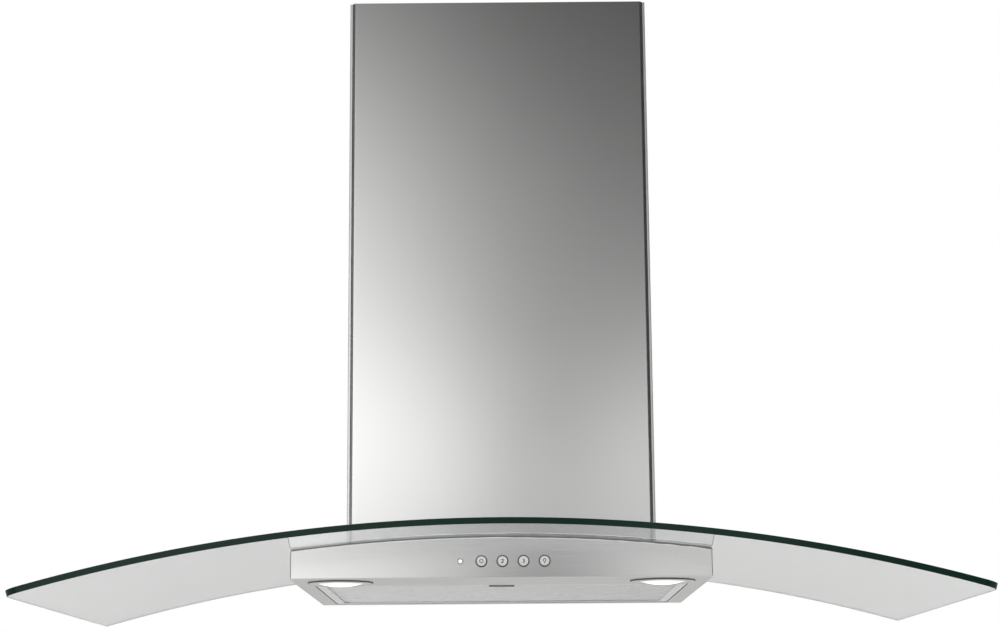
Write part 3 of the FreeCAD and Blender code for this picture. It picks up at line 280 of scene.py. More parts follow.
def round_edges(piece: bpy.types.Object, width: float) -> None:
    """Break the sharp edges of a CAD piece with a small round and even out its shading.

    Args:
        piece: CAD piece.
        width: width of the round in metres.
    """
    piece.modifiers.new("weld", "WELD").merge_threshold = 0.002 * MM
    piece.modifiers.new("plain_shading", "NODES").node_group = plain_shading_group()
    flat = piece.modifiers.new("join_flat_faces", "DECIMATE")
    flat.decimate_type, flat.angle_limit = "DISSOLVE", math.radians(0.2)
    bevel_edges(piece, width, 30.0)
    even_shading(piece, keep_sharp=False)


def plain_shading_group() -> bpy.types.NodeTree:
    """Geometry nodes that drop stored normals and sharp marks, so that rounds shade smoothly."""
    name = "plain_shading"
    tree = bpy.data.node_groups.get(name)
    if tree:
        return tree
    tree = bpy.data.node_groups.new(name, "GeometryNodeTree")
    for way in ("INPUT", "OUTPUT"):
        tree.interface.new_socket("Geometry", in_out=way, socket_type="NodeSocketGeometry")
    graph = Graph(tree)
    last = graph.out("NodeGroupInput")
    for mark in ("custom_normal", "sharp_edge", "sharp_face"):
        last = graph.out("GeometryNodeRemoveAttribute", {"Geometry": last, "Name": mark})
    graph.node("NodeGroupOutput", {0: last})
    return tree


# ---- finishes
@dataclass(frozen=True)
class Finish:
    """One material made of shader nodes; each kind of finish adds its own nodes."""

    name: str

    def material(self) -> bpy.types.Material:
        """Return the Blender material, made the first time it is asked for."""
        made = bpy.data.materials.get(self.name)
        if not made:
            made = bpy.data.materials.new(self.name)
            made.use_nodes = True
            made.node_tree.nodes.clear()
            graph = Graph(made.node_tree)
            graph.node("ShaderNodeOutputMaterial", self.shade(graph))
        return made

    def shade(self, graph: Graph) -> dict[str, Socket]:
        """Add the nodes of this finish.

        Args:
            graph: the material's node tree.

        Returns:
            What reaches the output node, by its input's name.
        """
        raise NotImplementedError

    def dress(self, piece: bpy.types.Object) -> None:
        """Put this finish on every material slot of a piece."""
        if not piece.data.materials:
            piece.data.materials.append(None)
        for place in piece.material_slots:
            place.material = self.material()


@dataclass(frozen=True)
class BrushedSteel(Finish):
    """AISI 304 stainless sheet, belt-brushed.

    To the eye: a cool grey sheen that smears along one way, hair-fine streaks that catch the light, and a
    faint cloudiness where the sheet was wiped.
    """

    grain: Axis = Axis.Z
    colour: str = "E2E2E1"
    roughness: float = 0.22
    anisotropic: float = 0.5
    streak_mm: float = 0.8       # belt marks are 0.05 to 0.1 mm wide; drawn coarser so that they show
    streak_length_mm: float = 160.0
    streak_relief: float = 0.003
    streak_shine: float = 0.012  # how far the roughness swings from streak to streak
    cloud_mm: float = 160.0      # size of the wiped patches
    cloud_shine: float = 0.008
    dullest: float = 0.992       # darkest streak's share of the colour

    def shade(self, graph: Graph) -> dict[str, Socket]:
        """Add streaks, clouds and the grain's direction."""
        place = graph.place()
        across, along = 1 / (self.streak_mm * MM), 1 / (self.streak_length_mm * MM)
        stretch = [along if axis == self.grain else across for axis in Axis]
        stretched = graph.out("ShaderNodeMapping", {"Vector": place, "Scale": stretch}, vector_type="POINT")
        streaks = graph.out("ShaderNodeTexNoise", {
            "Vector": stretched, "Scale": 1.0, "Detail": 3.0, "Roughness": 0.65})
        clouds = graph.noise(place, self.cloud_mm * MM)
        streak_shine = graph.spread(streaks, (0.25, 0.75), about(self.roughness, self.streak_shine))
        cloud_shine = graph.spread(clouds, (0.3, 0.7), about(0.0, self.cloud_shine))
        tone = graph.spread(streaks, (0.2, 0.8), (self.dullest, 1.0))
        colour = graph.node("ShaderNodeMix", {"Factor": 1.0, 6: linear(self.colour), 7: tone},
                            data_type="RGBA", blend_type="MULTIPLY").outputs[2]
        tangent = graph.out("ShaderNodeTangent", direction_type="RADIAL", axis=self.grain.name)
        return {"Surface": graph.out("ShaderNodeBsdfPrincipled", {
            "Base Color": colour, "Roughness": graph.maths("ADD", streak_shine, cloud_shine), "Metallic": 1.0,
            "Normal": graph.relief(streaks, self.streak_relief, 0.05 * MM), "Tangent": tangent,
            "Anisotropic": self.anisotropic})}


@dataclass(frozen=True)
class FloatGlass(Finish):
    """Toughened soda-lime float glass with polished edges.

    To the eye: clear through its thickness, bottle green along its length, and a strong sheen at a flat angle.
    """

    ior: float = 1.52
    absorption: tuple[float, float, float] = (8.4, 6.7, 7.2)   # per metre, from its iron content
    density_room: float = 1.4    # keeps the tint that goes with the density above black
    wave_mm: float = 260.0       # roller wave left by the toughening furnace
    wave_depth_mm: float = 0.6
    shadow: str = "E9F2EE"       # what a lamp's light keeps on its way through

    def shade(self, graph: Graph) -> dict[str, Socket]:
        """Add a clear refracting surface over an absorbing body, and let lamps through."""
        density = max(self.absorption) * self.density_room
        tint = [1 - share / density for share in self.absorption]
        wave = graph.noise(graph.place(), self.wave_mm * MM, 0.0)
        surface = graph.out("ShaderNodeBsdfPrincipled", {
            "Base Color": WHITE, "Roughness": 0.0, "IOR": self.ior, "Transmission Weight": 1.0,
            "Normal": graph.relief(wave, 0.1, self.wave_depth_mm * MM)})
        clear = graph.out("ShaderNodeBsdfTransparent", {"Color": linear(self.shadow)})
        is_shadow = graph.node("ShaderNodeLightPath").outputs["Is Shadow Ray"]
        body = graph.out("ShaderNodeVolumeAbsorption", {"Color": (*tint, 1), "Density": density})
        return {"Surface": graph.mixed(is_shadow, surface, clear), "Volume": body}


@dataclass(frozen=True)
class Grained(Finish):
    """A surface whose colour, shine and relief vary with one fine pattern and one broad one.

    Zinc coats, castings, mouldings, rubber and paint differ only in these values.
    """

    colour: str
    second: str
    metallic: float
    roughness: float
    swing: float                 # how far the roughness goes each way
    grain_mm: float
    patch_mm: float
    relief: float
    relief_mm: float = 0.05
    coat: float = 0.0
    specular: float = 0.5
    cells: bool = False          # a crystal pattern, as zinc has, in place of a soft one

    def shade(self, graph: Graph) -> dict[str, Socket]:
        """Add colour, shine and relief from the two patterns."""
        place = graph.place()
        fine = graph.noise(place, self.grain_mm * MM, 3.0)
        if self.cells:
            cells = graph.node("ShaderNodeTexVoronoi", {"Vector": place, "Scale": 1 / (self.patch_mm * MM)},
                               feature="F1")
            broad = graph.out("ShaderNodeSeparateColor", {0: cells.outputs["Color"]})
        else:
            broad = graph.noise(place, self.patch_mm * MM)
        colour = graph.node("ShaderNodeMix", {
            "Factor": broad, 6: linear(self.colour), 7: linear(self.second)}, data_type="RGBA").outputs[2]
        both = graph.maths("MULTIPLY_ADD", fine, 0.5, broad)
        return {"Surface": graph.out("ShaderNodeBsdfPrincipled", {
            "Base Color": colour, "Roughness": graph.spread(both, (0.3, 1.2), about(self.roughness, self.swing)),
            "Normal": graph.relief(fine, self.relief, self.relief_mm * MM), "Metallic": self.metallic,
            "Coat Weight": self.coat, "Specular IOR Level": self.specular})}


@dataclass(frozen=True)
class LitOpal(Finish):
    """Frosted polycarbonate lens with the lamp on behind it; on the pilot, its small glow is a painted highlight.

    To the eye: a white glow with a bright core that falls off towards the rim, on a soft matt surface.
    """

    centre: Point
    colour: str = "FBFBF6"
    core: float = 1.6            # level in the middle
    rim: float = 0.25            # level at the rim
    core_mm: float = 5.0         # radius of the bright core
    rim_mm: float = 22.0
    roughness: float = 0.45
    frost_mm: float = 0.6

    def shade(self, graph: Graph) -> dict[str, Socket]:
        """Add the matt body and its glow."""
        place = graph.place()
        frost = graph.noise(place, self.frost_mm * MM)
        away = graph.node("ShaderNodeVectorMath", {0: place, 1: self.centre}, operation="DISTANCE")
        glow = graph.spread(away.outputs["Value"], (self.core_mm * MM, self.rim_mm * MM),
                            (self.core, self.rim), smooth=True)
        return {"Surface": graph.out("ShaderNodeBsdfPrincipled", {
            "Base Color": linear(self.colour), "Emission Color": linear(self.colour), "Emission Strength": glow,
            "Roughness": graph.spread(frost, (0.0, 1.0), about(self.roughness, 0.1)),
            "Normal": graph.relief(frost, 0.15, 0.05 * MM)})}


# Each: name, colour, second colour, metallic, roughness and its swing, grain and patch in mm, relief.
SLOT_FINISHES: dict[str, Finish] = {
    "brushed_stainless": BrushedSteel("brushed_stainless_upright"),
    "zinc_steel": Grained("galvanised_sheet", "B4B7B9", "9EA2A5", 1.0, 0.42, 0.08, 0.8, 9.0, 0.08, cells=True),
    "zinc_screws": Grained("bright_zinc_screws", "C9C9C4", "B5B5B0", 1.0, 0.28, 0.06, 0.4, 3.0, 0.08),
    "black_rubber": Grained("black_nitrile_rubber", "1B1B1B", "222221", 0.0, 0.72, 0.06, 0.5, 12.0, 0.2),
    "filter_aluminium": Grained("rolled_aluminium", "F8F8F8", "F1F2F3", 1.0, 0.26, 0.04, 0.7, 30.0, 0.05),
    "latch_plastic": Grained("grey_nylon_latch", "4A4B4D", "424345", 0.0, 0.55, 0.06, 0.4, 15.0, 0.15),
    "spring_steel": Grained("drawn_spring_steel", "ABABAA", "9C9C9B", 1.0, 0.25, 0.05, 0.4, 4.0, 0.05),
    "lamp_chrome": Grained("chromed_zinc_casting", "D4D5D7", "C9CACD", 1.0, 0.14, 0.03, 0.8, 20.0, 0.02),
    "lamp_alloy": Grained("cast_aluminium", "A9AAAB", "9C9D9E", 1.0, 0.5, 0.08, 0.6, 12.0, 0.2),
    "silver_button": Grained("silver_painted_abs", "FAFAF9", "F4F4F3", 0.1, 0.35, 0.05, 0.3, 6.0, 0.05),
    "black_plastic": Grained("black_moulded_abs", "151516", "1C1C1D", 0.0, 0.5, 0.06, 0.4, 18.0, 0.12),
    "pale_plastic": Grained("pale_grey_polypropylene", "CDCDC8", "C2C2BD", 0.0, 0.5, 0.06, 0.6, 40.0, 0.1),
    "motor_enamel": Grained("stoved_motor_enamel", "3A3D40", "33363A", 0.0, 0.42, 0.06, 0.6, 30.0, 0.15, coat=0.3),
    "lead_pvc": Grained("grey_lead_pvc", "56575A", "4C4D50", 0.0, 0.46, 0.05, 0.5, 25.0, 0.08),
}
# Marks run along the fascia and are drawn a little coarser, because they show more there.
SHEET_LEVEL = BrushedSteel("brushed_stainless_level", Axis.X, streak_mm=1.1, streak_shine=0.03)
# Painted shade: the same steel as the fascia, drawn darker on the underside, tuned to the photo.
SHEET_UNDER = BrushedSteel("brushed_stainless_underside", Axis.X, "D4D4D3")
# The folded corner strips read brighter and less directed than the panel: tuned to the photo, their brighter colour
# is a painted highlight. The folded corner strips read brighter and less directed than the panel: tuned to the
# photo, the cause is a guess.
MILL_EDGE = Grained("pickled_stainless_edge", "F6F6F5", "EFEFEE", 1.0, 0.42, 0.04, 0.6, 25.0, 0.05)
# Painted shade: a near-black matt finish for beads and lines put where the steel only lies in shade.
SEALANT = Grained("black_silicone_bead", "0B0B0C", "101011", 0.0, 0.6, 0.05, 0.6, 20.0, 0.1, specular=0.2)
GLASS = FloatGlass("clear_float_glass")
# Seen end on, the iron in a long way of glass drinks the light: an even, very dark bottle green.
GLASS_EDGE = Grained("polished_glass_edge", "1C3930", "19342C", 0.0, 0.14, 0.03, 1.5, 60.0, 0.03, specular=0.15)
# The ground chamfer scatters light and reads as a thin pale line.
GLASS_ARRIS = Grained("ground_glass_arris", "DCE6E2", "D2DDD8", 0.0, 0.5, 0.06, 0.3, 8.0, 0.1)
# The bezels read as a grey ring, and the seal and gaskets as grey lines: their tones are tuned to the photo. The
# lamp gaskets' dark tone is partly painted shade, standing in for the shadow gap round each lamp ring.
BEZEL = Grained("satin_black_bezel", "48484A", "424244", 0.0, 0.35, 0.05, 0.4, 12.0, 0.08)
SEAL = Grained("grey_glazing_seal", "8E8E8E", "868687", 0.0, 0.55, 0.05, 0.5, 20.0, 0.1)
GASKET = Grained("grey_silicone_gasket", "4A4A4A", "444445", 0.0, 0.6, 0.05, 0.5, 12.0, 0.12)
SIGN_PRINT = Grained("dark_pad_print", "141415", "1A1A1B", 0.0, 0.45, 0.05, 0.3, 5.0, 0.05)


# ---- studio
@dataclass(frozen=True)
class Stop:
    """One point of a brightness curve: a place and the level there."""

    at: float
    level: float


def level_curve(graph: Graph, value: Socket, stops: Sequence[Stop]) -> Socket:
    """Read a smooth brightness curve.

    Args:
        graph: node tree that takes the nodes.
        value: what the curve reads.
        stops: the curve's points, in rising order.

    Returns:
        The level at the value.
    """
    first, last = stops[0].at, stops[-1].at
    top = max(stop.level for stop in stops)
    ramp = graph.node("ShaderNodeValToRGB", {"Fac": graph.spread(value, (first, last))})
    ramp.color_ramp.interpolation = "EASE"
    points = ramp.color_ramp.elements
    for i, stop in enumerate(stops):
        point = points[i] if i < 2 else points.new(1.0)
        point.position = (stop.at - first) / (last - first)
        point.color = (*[stop.level / top] * 3, 1)
    return graph.maths("MULTIPLY", ramp.outputs[0], top)


@dataclass(frozen=True)
class Bank:
    """A lamp behind the silk: a soft round patch of light, or with a level below zero a card that shades."""

    x: float
    z: float
    half_width: float
    half_height: float
    level: float

    def glow(self, graph: Graph, x: Socket, z: Socket) -> Socket:
        """Brightness of this patch.

        Args:
            graph: node tree that takes the nodes.
            x: place across the wall.
            z: height on the wall.

        Returns:
            The level that the patch adds there.
        """
        squares = []
        for value, centre, half in ((x, self.x, self.half_width), (z, self.z, self.half_height)):
            away = graph.maths("MULTIPLY_ADD", value, 1 / half, -centre / half)
            squares.append(graph.maths("MULTIPLY", away, away))
        faded = graph.maths("POWER", math.exp(-1), graph.maths("ADD", *squares))
        return graph.maths("MULTIPLY", faded, self.level)


@dataclass(frozen=True)
class LitSilk(Finish):
    """Thin white silk with lamps behind it; to the eye, only what metal reflects of it."""

    foot: float                  # height of its lower edge
    hem: float = 0.2             # height over which it darkens to that edge
    base: float = 0.03
    # Fitted by a scratch script, together with the steel's shine, to grey values read from the photo.
    banks: tuple[Bank, ...] = (
        Bank(-0.60, 0.27, 0.47, 0.66, 1.74), Bank(-0.51, -0.35, 0.42, 0.15, 1.11),
        Bank(0.04, 0.15, 0.41, 0.19, 0.83), Bank(0.33, -0.37, 0.20, 0.88, 0.73),
        Bank(0.07, 0.17, 0.10, 0.20, -1.20))

    def shade(self, graph: Graph) -> dict[str, Socket]:
        """Add up the banks, and darken the hem."""
        place = graph.node("ShaderNodeSeparateXYZ", {0: graph.place()}).outputs
        level = graph.out("ShaderNodeValue")
        level.default_value = self.base
        for bank in self.banks:
            level = graph.maths("ADD", level, bank.glow(graph, place["X"], place["Z"]))
        hem = graph.spread(place["Z"], (self.foot, self.foot + self.hem), smooth=True)
        return {"Surface": graph.glow(graph.maths("MULTIPLY", graph.maths("MAXIMUM", level, 0.0), hem))}


@dataclass
class LightWall:
    """A wall of diffused light in front of the object: lamps stand behind one silk, brighter on the left."""

    y: float = -1.75
    half_width: float = 1.7
    z_range: tuple[float, float] = (-0.8, 1.5)

    def build(self) -> None:
        """Add the wall, which only glossy rays see: metal shows it, and it leaves no band on the floor."""
        x, (z0, z1) = self.half_width, self.z_range
        wall = Draft([(-x, self.y, z0), (x, self.y, z0), (x, self.y, z1), (-x, self.y, z1)],
                     [(0, 1, 2, 3)]).piece("light_wall", smooth=False)
        LitSilk("lit_silk", z0).dress(wall)
        for ray in ("camera", "diffuse", "transmission", "shadow"):
            setattr(wall, f"visible_{ray}", False)


@dataclass
class Softbox:
    """One soft studio lamp."""

    name: str
    place: Point
    target: Point
    width: float
    height: float
    level: float                 # radiance of its face, where 1 is white

    def build(self) -> None:
        """Add the lamp, hidden from the camera and seen by metal."""
        data = bpy.data.lights.new(self.name, "AREA")
        data.shape = "RECTANGLE"
        data.size, data.size_y = self.width, self.height
        data.energy = self.level * math.pi * self.width * self.height
        lamp = bpy.data.objects.new(self.name, data)
        lamp.location = self.place
        aim = Vector(self.target) - Vector(self.place)
        lamp.rotation_euler = aim.to_track_quat("-Z", "Y").to_euler()
        lamp.visible_camera = lamp.visible_transmission = False
        bpy.context.scene.collection.objects.link(lamp)


@dataclass(frozen=True)
class MattFloor(Finish):
    """Painted studio floor; to the eye, an even pale matt ground that fades to white far away."""

    colour: str = "E9E9E7"
    fleck: float = 1 / 120       # metres, the size of its dull and less dull spots
    shine: tuple[float, float] = (0.75, 0.9)
    fade: tuple[float, float] = (1.6, 4.5)   # metres from the object

    def shade(self, graph: Graph) -> dict[str, Socket]:
        """Add the paint, and white over it where the camera sees it from afar."""
        place = graph.place()
        shine = graph.spread(graph.noise(place, self.fleck), (0.0, 1.0), self.shine)
        matt = graph.out("ShaderNodeBsdfPrincipled", {"Base Color": linear(self.colour), "Roughness": shine})
        distance = graph.node("ShaderNodeVectorMath", {0: place}, operation="LENGTH").outputs["Value"]
        seen = graph.node("ShaderNodeLightPath").outputs["Is Camera Ray"]
        share = graph.maths("MULTIPLY", graph.spread(distance, self.fade, smooth=True), seen)
        return {"Surface": graph.mixed(share, matt, graph.glow(1.0))}


@dataclass
class Studio:
    """Pale floor, soft lamps, room light and the camera at the photograph's place."""

    floor_z: float = -1.05
    floor_radius: float = 9.0
    floor_sides: int = 96
    overhead: Softbox = field(default_factory=lambda: Softbox(
        "overhead_softbox", (0.0, -0.6, 2.6), (0.0, -0.3, 0.0), 2.6, 2.0, 1.6))
    # How bright the room is from straight down, -1, to straight up, 1.
    room: tuple[Stop, ...] = (
        Stop(-1.0, 0.62), Stop(-0.05, 0.6), Stop(0.04, 0.4), Stop(0.12, 0.26), Stop(0.3, 0.1),
        Stop(0.62, 0.16), Stop(0.76, 1.1), Stop(1.0, 1.5))
    doorway: tuple[float, float] = (0.75, 0.95)   # share of the way to +X where the room turns dark
    doorway_level: float = 0.12
    horizon: tuple[float, float] = (-0.02, 0.05)  # the dark side begins above this
    camera_place: Point = (0.0029, -2.4035, -0.3343)
    camera_turns: Point = (11.4485, -0.0699, -0.4214)   # pitch, yaw and roll in degrees
    camera_clip: tuple[float, float] = (0.05, 60.0)
    focal_px: float = 2104.28

    def build(self) -> None:
        """Make floor, lamps, room light and camera."""
        self.build_floor()
        LightWall().build()
        self.overhead.build()
        self.build_world()
        self.build_camera()
        bpy.context.scene.view_settings.view_transform = "Standard"

    def build_floor(self) -> None:
        """Add a large round pale floor."""
        turns = [math.tau * i / self.floor_sides for i in range(self.floor_sides)]
        points = [(self.floor_radius * math.cos(turn), self.floor_radius * math.sin(turn), self.floor_z)
                  for turn in turns]
        floor = Draft(points, [range(self.floor_sides)]).piece("studio_floor", smooth=False)
        MattFloor("matt_pale_floor").dress(floor)

    def build_world(self) -> None:
        """White behind the object; for what it lights, a dim room, darker to the right, under a bright ceiling."""
        world = bpy.data.worlds.new("studio_room")
        bpy.context.scene.world = world
        world.use_nodes = True
        world.node_tree.nodes.clear()
        graph = Graph(world.node_tree)
        ahead = graph.node("ShaderNodeTexCoord").outputs["Generated"]
        way = graph.node("ShaderNodeSeparateXYZ", {0: ahead}).outputs
        dark = graph.maths("MULTIPLY", graph.spread(way["X"], self.doorway, smooth=True),
                           graph.spread(way["Z"], self.horizon, smooth=True))
        share = graph.spread(dark, (0.0, 1.0), (1.0, self.doorway_level))
        level = graph.maths("MULTIPLY", level_curve(graph, way["Z"], self.room), share)
        room, white = (graph.out("ShaderNodeBackground", {"Color": WHITE, "Strength": strength})
                       for strength in (level, 1.0))
        path = graph.node("ShaderNodeLightPath").outputs
        seen = graph.maths("MAXIMUM", path["Is Camera Ray"], path["Is Transmission Ray"])
        graph.node("ShaderNodeOutputWorld", {"Surface": graph.mixed(seen, room, white)})

    def build_camera(self) -> None:
        """Put the camera where the photograph was taken from."""
        pitch, yaw, roll = (math.radians(turn) for turn in self.camera_turns)
        ahead = Vector((math.sin(yaw) * math.cos(pitch), math.cos(yaw) * math.cos(pitch), math.sin(pitch)))
        level_right = Vector((math.cos(yaw), -math.sin(yaw), 0.0))
        level_up = level_right.cross(ahead)
        right = level_right * math.cos(roll) + level_up * math.sin(roll)
        up = level_up * math.cos(roll) - level_right * math.sin(roll)
        data = bpy.data.cameras.new("photo_camera")
        data.sensor_width = 36.0
        data.lens = self.focal_px * data.sensor_width / PHOTO_WIDTH_PX
        data.clip_start, data.clip_end = self.camera_clip
        camera = bpy.data.objects.new("photo_camera", data)
        turn = Matrix((right, up, -ahead)).transposed()
        camera.matrix_world = Matrix.Translation(self.camera_place) @ turn.to_4x4()
        bpy.context.scene.collection.objects.link(camera)
        bpy.context.scene.camera = camera


# ---- glass canopy
@dataclass
class Canopy:
    """The bent sheet of glass: an arch from side to side, straight from front to rear."""

    arch_radius: float = 1635 * MM       # underside
    thickness: float = 6 * MM
    corner: float = 12 * MM              # front corners in plan
    notch_half: float = 133 * MM
    notch_front_y: float = -239 * MM
    arris: float = 0.7 * MM              # ground chamfer along every edge
    steps: int = 180
    corner_steps: int = 14

    def build(self) -> None:
        """Replace the CAD sheet by one with polished, chamfered edges."""
        low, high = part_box("glass_canopy")
        self.front, self.half = low.y, high.x
        self.centre_z = high.z - self.thickness - self.arch_radius
        draft, index = Draft(), {}

        def corner_at(x: float, y: float, offset: float) -> int:
            """Number of the point at a place, added where it is new."""
            key = (round(x, 7), round(y, 7), offset)
            if key not in index:
                index[key] = len(draft.points)
                draft.points.append(self.on_arch(x, y, offset))
            return index[key]

        columns, notch = self.columns(), self.notch_front_y
        for (x0, front0), (x1, front1) in zip(columns, columns[1:]):
            spans = [(front0, front1, notch, notch)]
            if abs((x0 + x1) / 2) >= self.notch_half:
                spans.append((notch, notch, high.y, high.y))
            for a0, a1, b0, b1 in spans:
                for offset, turn in ((self.thickness, 1), (0.0, -1)):
                    draft.faces.append([corner_at(x, y, offset) for x, y in (
                        (x0, a0), (x1, a1), (x1, b1), (x0, b0))][::turn])
        flat_count = len(draft.faces)
        draft.faces += self.rim(draft.faces)
        sheet = draft.piece("glass_sheet")
        for finish in (GLASS, GLASS_EDGE, GLASS_ARRIS):
            sheet.data.materials.append(finish.material())
        for face in sheet.data.polygons[flat_count:]:
            face.material_index = 1
        bevel_edges(sheet, self.arris, 40.0).material = 2
        even_shading(sheet, keep_sharp=False)
        settle(sheet, None, "hood", "glass_canopy")

    def columns(self) -> list[tuple[float, float]]:
        """List (x, front y) from tip to tip, closer together round the corners."""
        straight = self.half - self.corner
        xs = [*np.linspace(-straight, straight, self.steps + 1), -self.notch_half, self.notch_half]
        turns = [math.pi / 2 * i / self.corner_steps for i in range(1, self.corner_steps + 1)]
        xs += [side * (straight + self.corner * math.sin(a)) for a in turns for side in (-1, 1)]
        out = []
        for x in sorted({round(float(x), 7) for x in xs}):
            past = min(max(abs(x) - straight, 0.0), self.corner)
            drop = self.corner - math.sqrt(max(self.corner ** 2 - past ** 2, 0.0))
            out.append((x, self.front + drop))
        return out

    def on_arch(self, x: float, y: float, offset: float) -> Point:
        """Place of a sheet point.

        Args:
            x: place from side to side, measured at the top surface.
            y: place from front to rear.
            offset: height above the underside, along the arch's radius.

        Returns:
            The point in metres.
        """
        angle = math.asin(x / (self.arch_radius + self.thickness))
        radius = self.arch_radius + offset
        return radius * math.sin(angle), y, self.centre_z + radius * math.cos(angle)

    def rim(self, faces: Sequence[list[int]]) -> list[list[int]]:
        """Close the sheet round its border.

        Args:
            faces: the top faces and under faces, in turn.

        Returns:
            One face for each border edge, joining top and underside.
        """
        tops, under = faces[0::2], faces[1::2]
        edges = dict.fromkeys((a, b) for face in tops for a, b in zip(face, face[1:] + face[:1]))
        below = {a: b for upper, lower in zip(tops, under) for a, b in zip(upper, lower[::-1])}
        return [[b, a, below[a], below[b]] for a, b in edges if (b, a) not in edges]


# ---- chimney cover
@dataclass(frozen=True)
class Bend:
    """A corner of a folded sheet, seen from above, and the radius of its bend."""

    x: float
    y: float
    radius: float


PathPoint = tuple[float, float, float, float]    # x, y, outward x, outward y


def bent_path(bends: Sequence[Bend], steps: int = 6) -> list[PathPoint]:
    """Follow a folded sheet's outer face round its bends.

    Args:
        bends: the corners in order, the sheet's inside lying on the left hand.
        steps: facets in each bend.

    Returns:
        The path's points with their outward direction.
    """
    places = [Vector((bend.x, bend.y)) for bend in bends]
    out = []
    for i, bend in enumerate(bends):
        before = (places[max(i, 1)] - places[max(i, 1) - 1]).normalized()
        left = Vector((-before.y, before.x))
        if not bend.radius:
            out.append((bend.x, bend.y, -left.x, -left.y))
            continue
        turn = before.angle_signed((places[i + 1] - places[i]).normalized())
        reach = bend.radius * math.tan(abs(turn) / 2)
        radius = -math.copysign(bend.radius, turn)          # positive where the path turns left
        centre = places[i] - before * reach + left * radius
        for step in range(steps + 1):
            outward = Matrix.Rotation(-turn * step / steps, 2) @ -left
            point = centre + outward * radius
            out.append((point.x, point.y, outward.x, outward.y))
    return out


@dataclass
class ChimneyCover:
    """Lower chimney: one folded sheet whose front panel stands ahead of a narrow strip at each corner."""

    sheet: float = 0.7 * MM
    step: float = 3 * MM
    run: float = 2.2 * MM        # width over which the sheet falls back by the step
    strip: float = 2.8 * MM
    panel_bend: float = 2 * MM
    valley_bend: float = 0.3 * MM
    outer_bend: float = 0.9 * MM
    flange: float = 11 * MM
    lift: float = 0.5 * MM       # lower edge above the glass
    bead: float = 0.38 * MM      # radius of the dark bead in each valley: painted shade
    bead_sides: int = 10
    bead_shift: tuple[float, float] = (0.3, 0.2)   # of its radius: how deep it sits, outwards and rearwards
    bead_short: float = 0.2 * MM   # ends this far under the cover's top
    columns: int = 60            # across the front panel, which follows the arch of the glass

    def build(self) -> None:
        """Make the cover, its two corner strips with a painted highlight, and the dark beads of painted shade."""
        low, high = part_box("lower_chimney")
        self.half, self.front, self.top = high.x, low.y, high.z
        draft = Draft()
        draft.loft([self.section(*point) for point in self.outline()])
        cover = draft.piece("chimney_cover")
        SLOT_FINISHES["brushed_stainless"].dress(cover)
        # Painted highlight: the faces of the corner strips get the brighter strip finish.
        cover.data.materials.append(MILL_EDGE.material())
        for face in cover.data.polygons:
            if face.normal.y < -0.5 and abs(face.center.x) > self.half - self.strip + self.valley_bend:
                face.material_index = 1
        even_shading(cover)
        settle(cover, None, "hood", "lower_chimney")
        for side, word in SIDES:
            self.build_bead(f"corner_bead_{word}", side)

    def outline(self) -> list[PathPoint]:
        """Outer face of the folded sheet from the left flange round to the right one."""
        riser = self.front + self.step
        right = [Bend(self.half - self.strip - self.run, self.front, self.panel_bend),
                 Bend(self.half - self.strip, riser, self.valley_bend),
                 Bend(self.half, riser, self.outer_bend), Bend(self.half, 0.0, self.outer_bend),
                 Bend(self.half - self.flange, 0.0, 0.0)]
        path = bent_path([Bend(-bend.x, bend.y, bend.radius) for bend in reversed(right)] + right)
        wide = max(range(1, len(path)), key=lambda i: path[i][0] - path[i - 1][0])
        (x0, *rest), x1 = path[wide - 1], path[wide][0]
        middle = [(x0 + (x1 - x0) * i / self.columns, *rest) for i in range(1, self.columns)]
        return path[:wide] + middle + path[wide:]

    def section(self, x: float, y: float, out_x: float, out_y: float) -> list[Point]:
        """Cut through the sheet at one point of its path, its lower edge scribed to the glass.

        Args:
            x: place of the outer face.
            y: place of the outer face.
            out_x: outward direction there.
            out_y: outward direction there.

        Returns:
            The outer face's foot and top, then the inner face's top and foot.
        """
        in_x, in_y = x - out_x * self.sheet, y - out_y * self.sheet
        return [(x, y, glass_top(x) + self.lift), (x, y, self.top),
                (in_x, in_y, self.top), (in_x, in_y, glass_top(in_x) + self.lift)]

    def build_bead(self, name: str, side: int) -> None:
        """Lay a dark bead down the valley of one corner: painted shade where the valley lies in shade.

        Args:
            name: piece name.
            side: -1 for the left corner, 1 for the right one.
        """
        shift_x, shift_y = (self.bead * share for share in self.bead_shift)
        centre_x = side * (self.half - self.strip - shift_x)
        centre_y = self.front + self.step - shift_y
        turns = [math.tau * k / self.bead_sides for k in range(self.bead_sides)]
        draft = Draft()
        draft.loft([[(centre_x + self.bead * math.cos(turn), centre_y + self.bead * math.sin(turn), z)
                     for turn in turns] for z in (glass_top(centre_x) + self.lift, self.top - self.bead_short)])
        # Painted shade: the near-black bead darkens the valley.
        settle(draft.piece(name, sharp=60), SEALANT, "hood")


# ---- grease filter
@dataclass(frozen=True)
class ExpandedSheet:
    """One sheet of expanded metal: a net of diamonds."""

    name: str
    strand_width: float
    strand_thick: float
    tilt: float                  # degrees that stretching turns each strand
    slant: float = 0.0           # degrees that the net is cut askew
    pitch_x: float = 10 * MM     # long way of a diamond
    pitch_y: float = 6 * MM


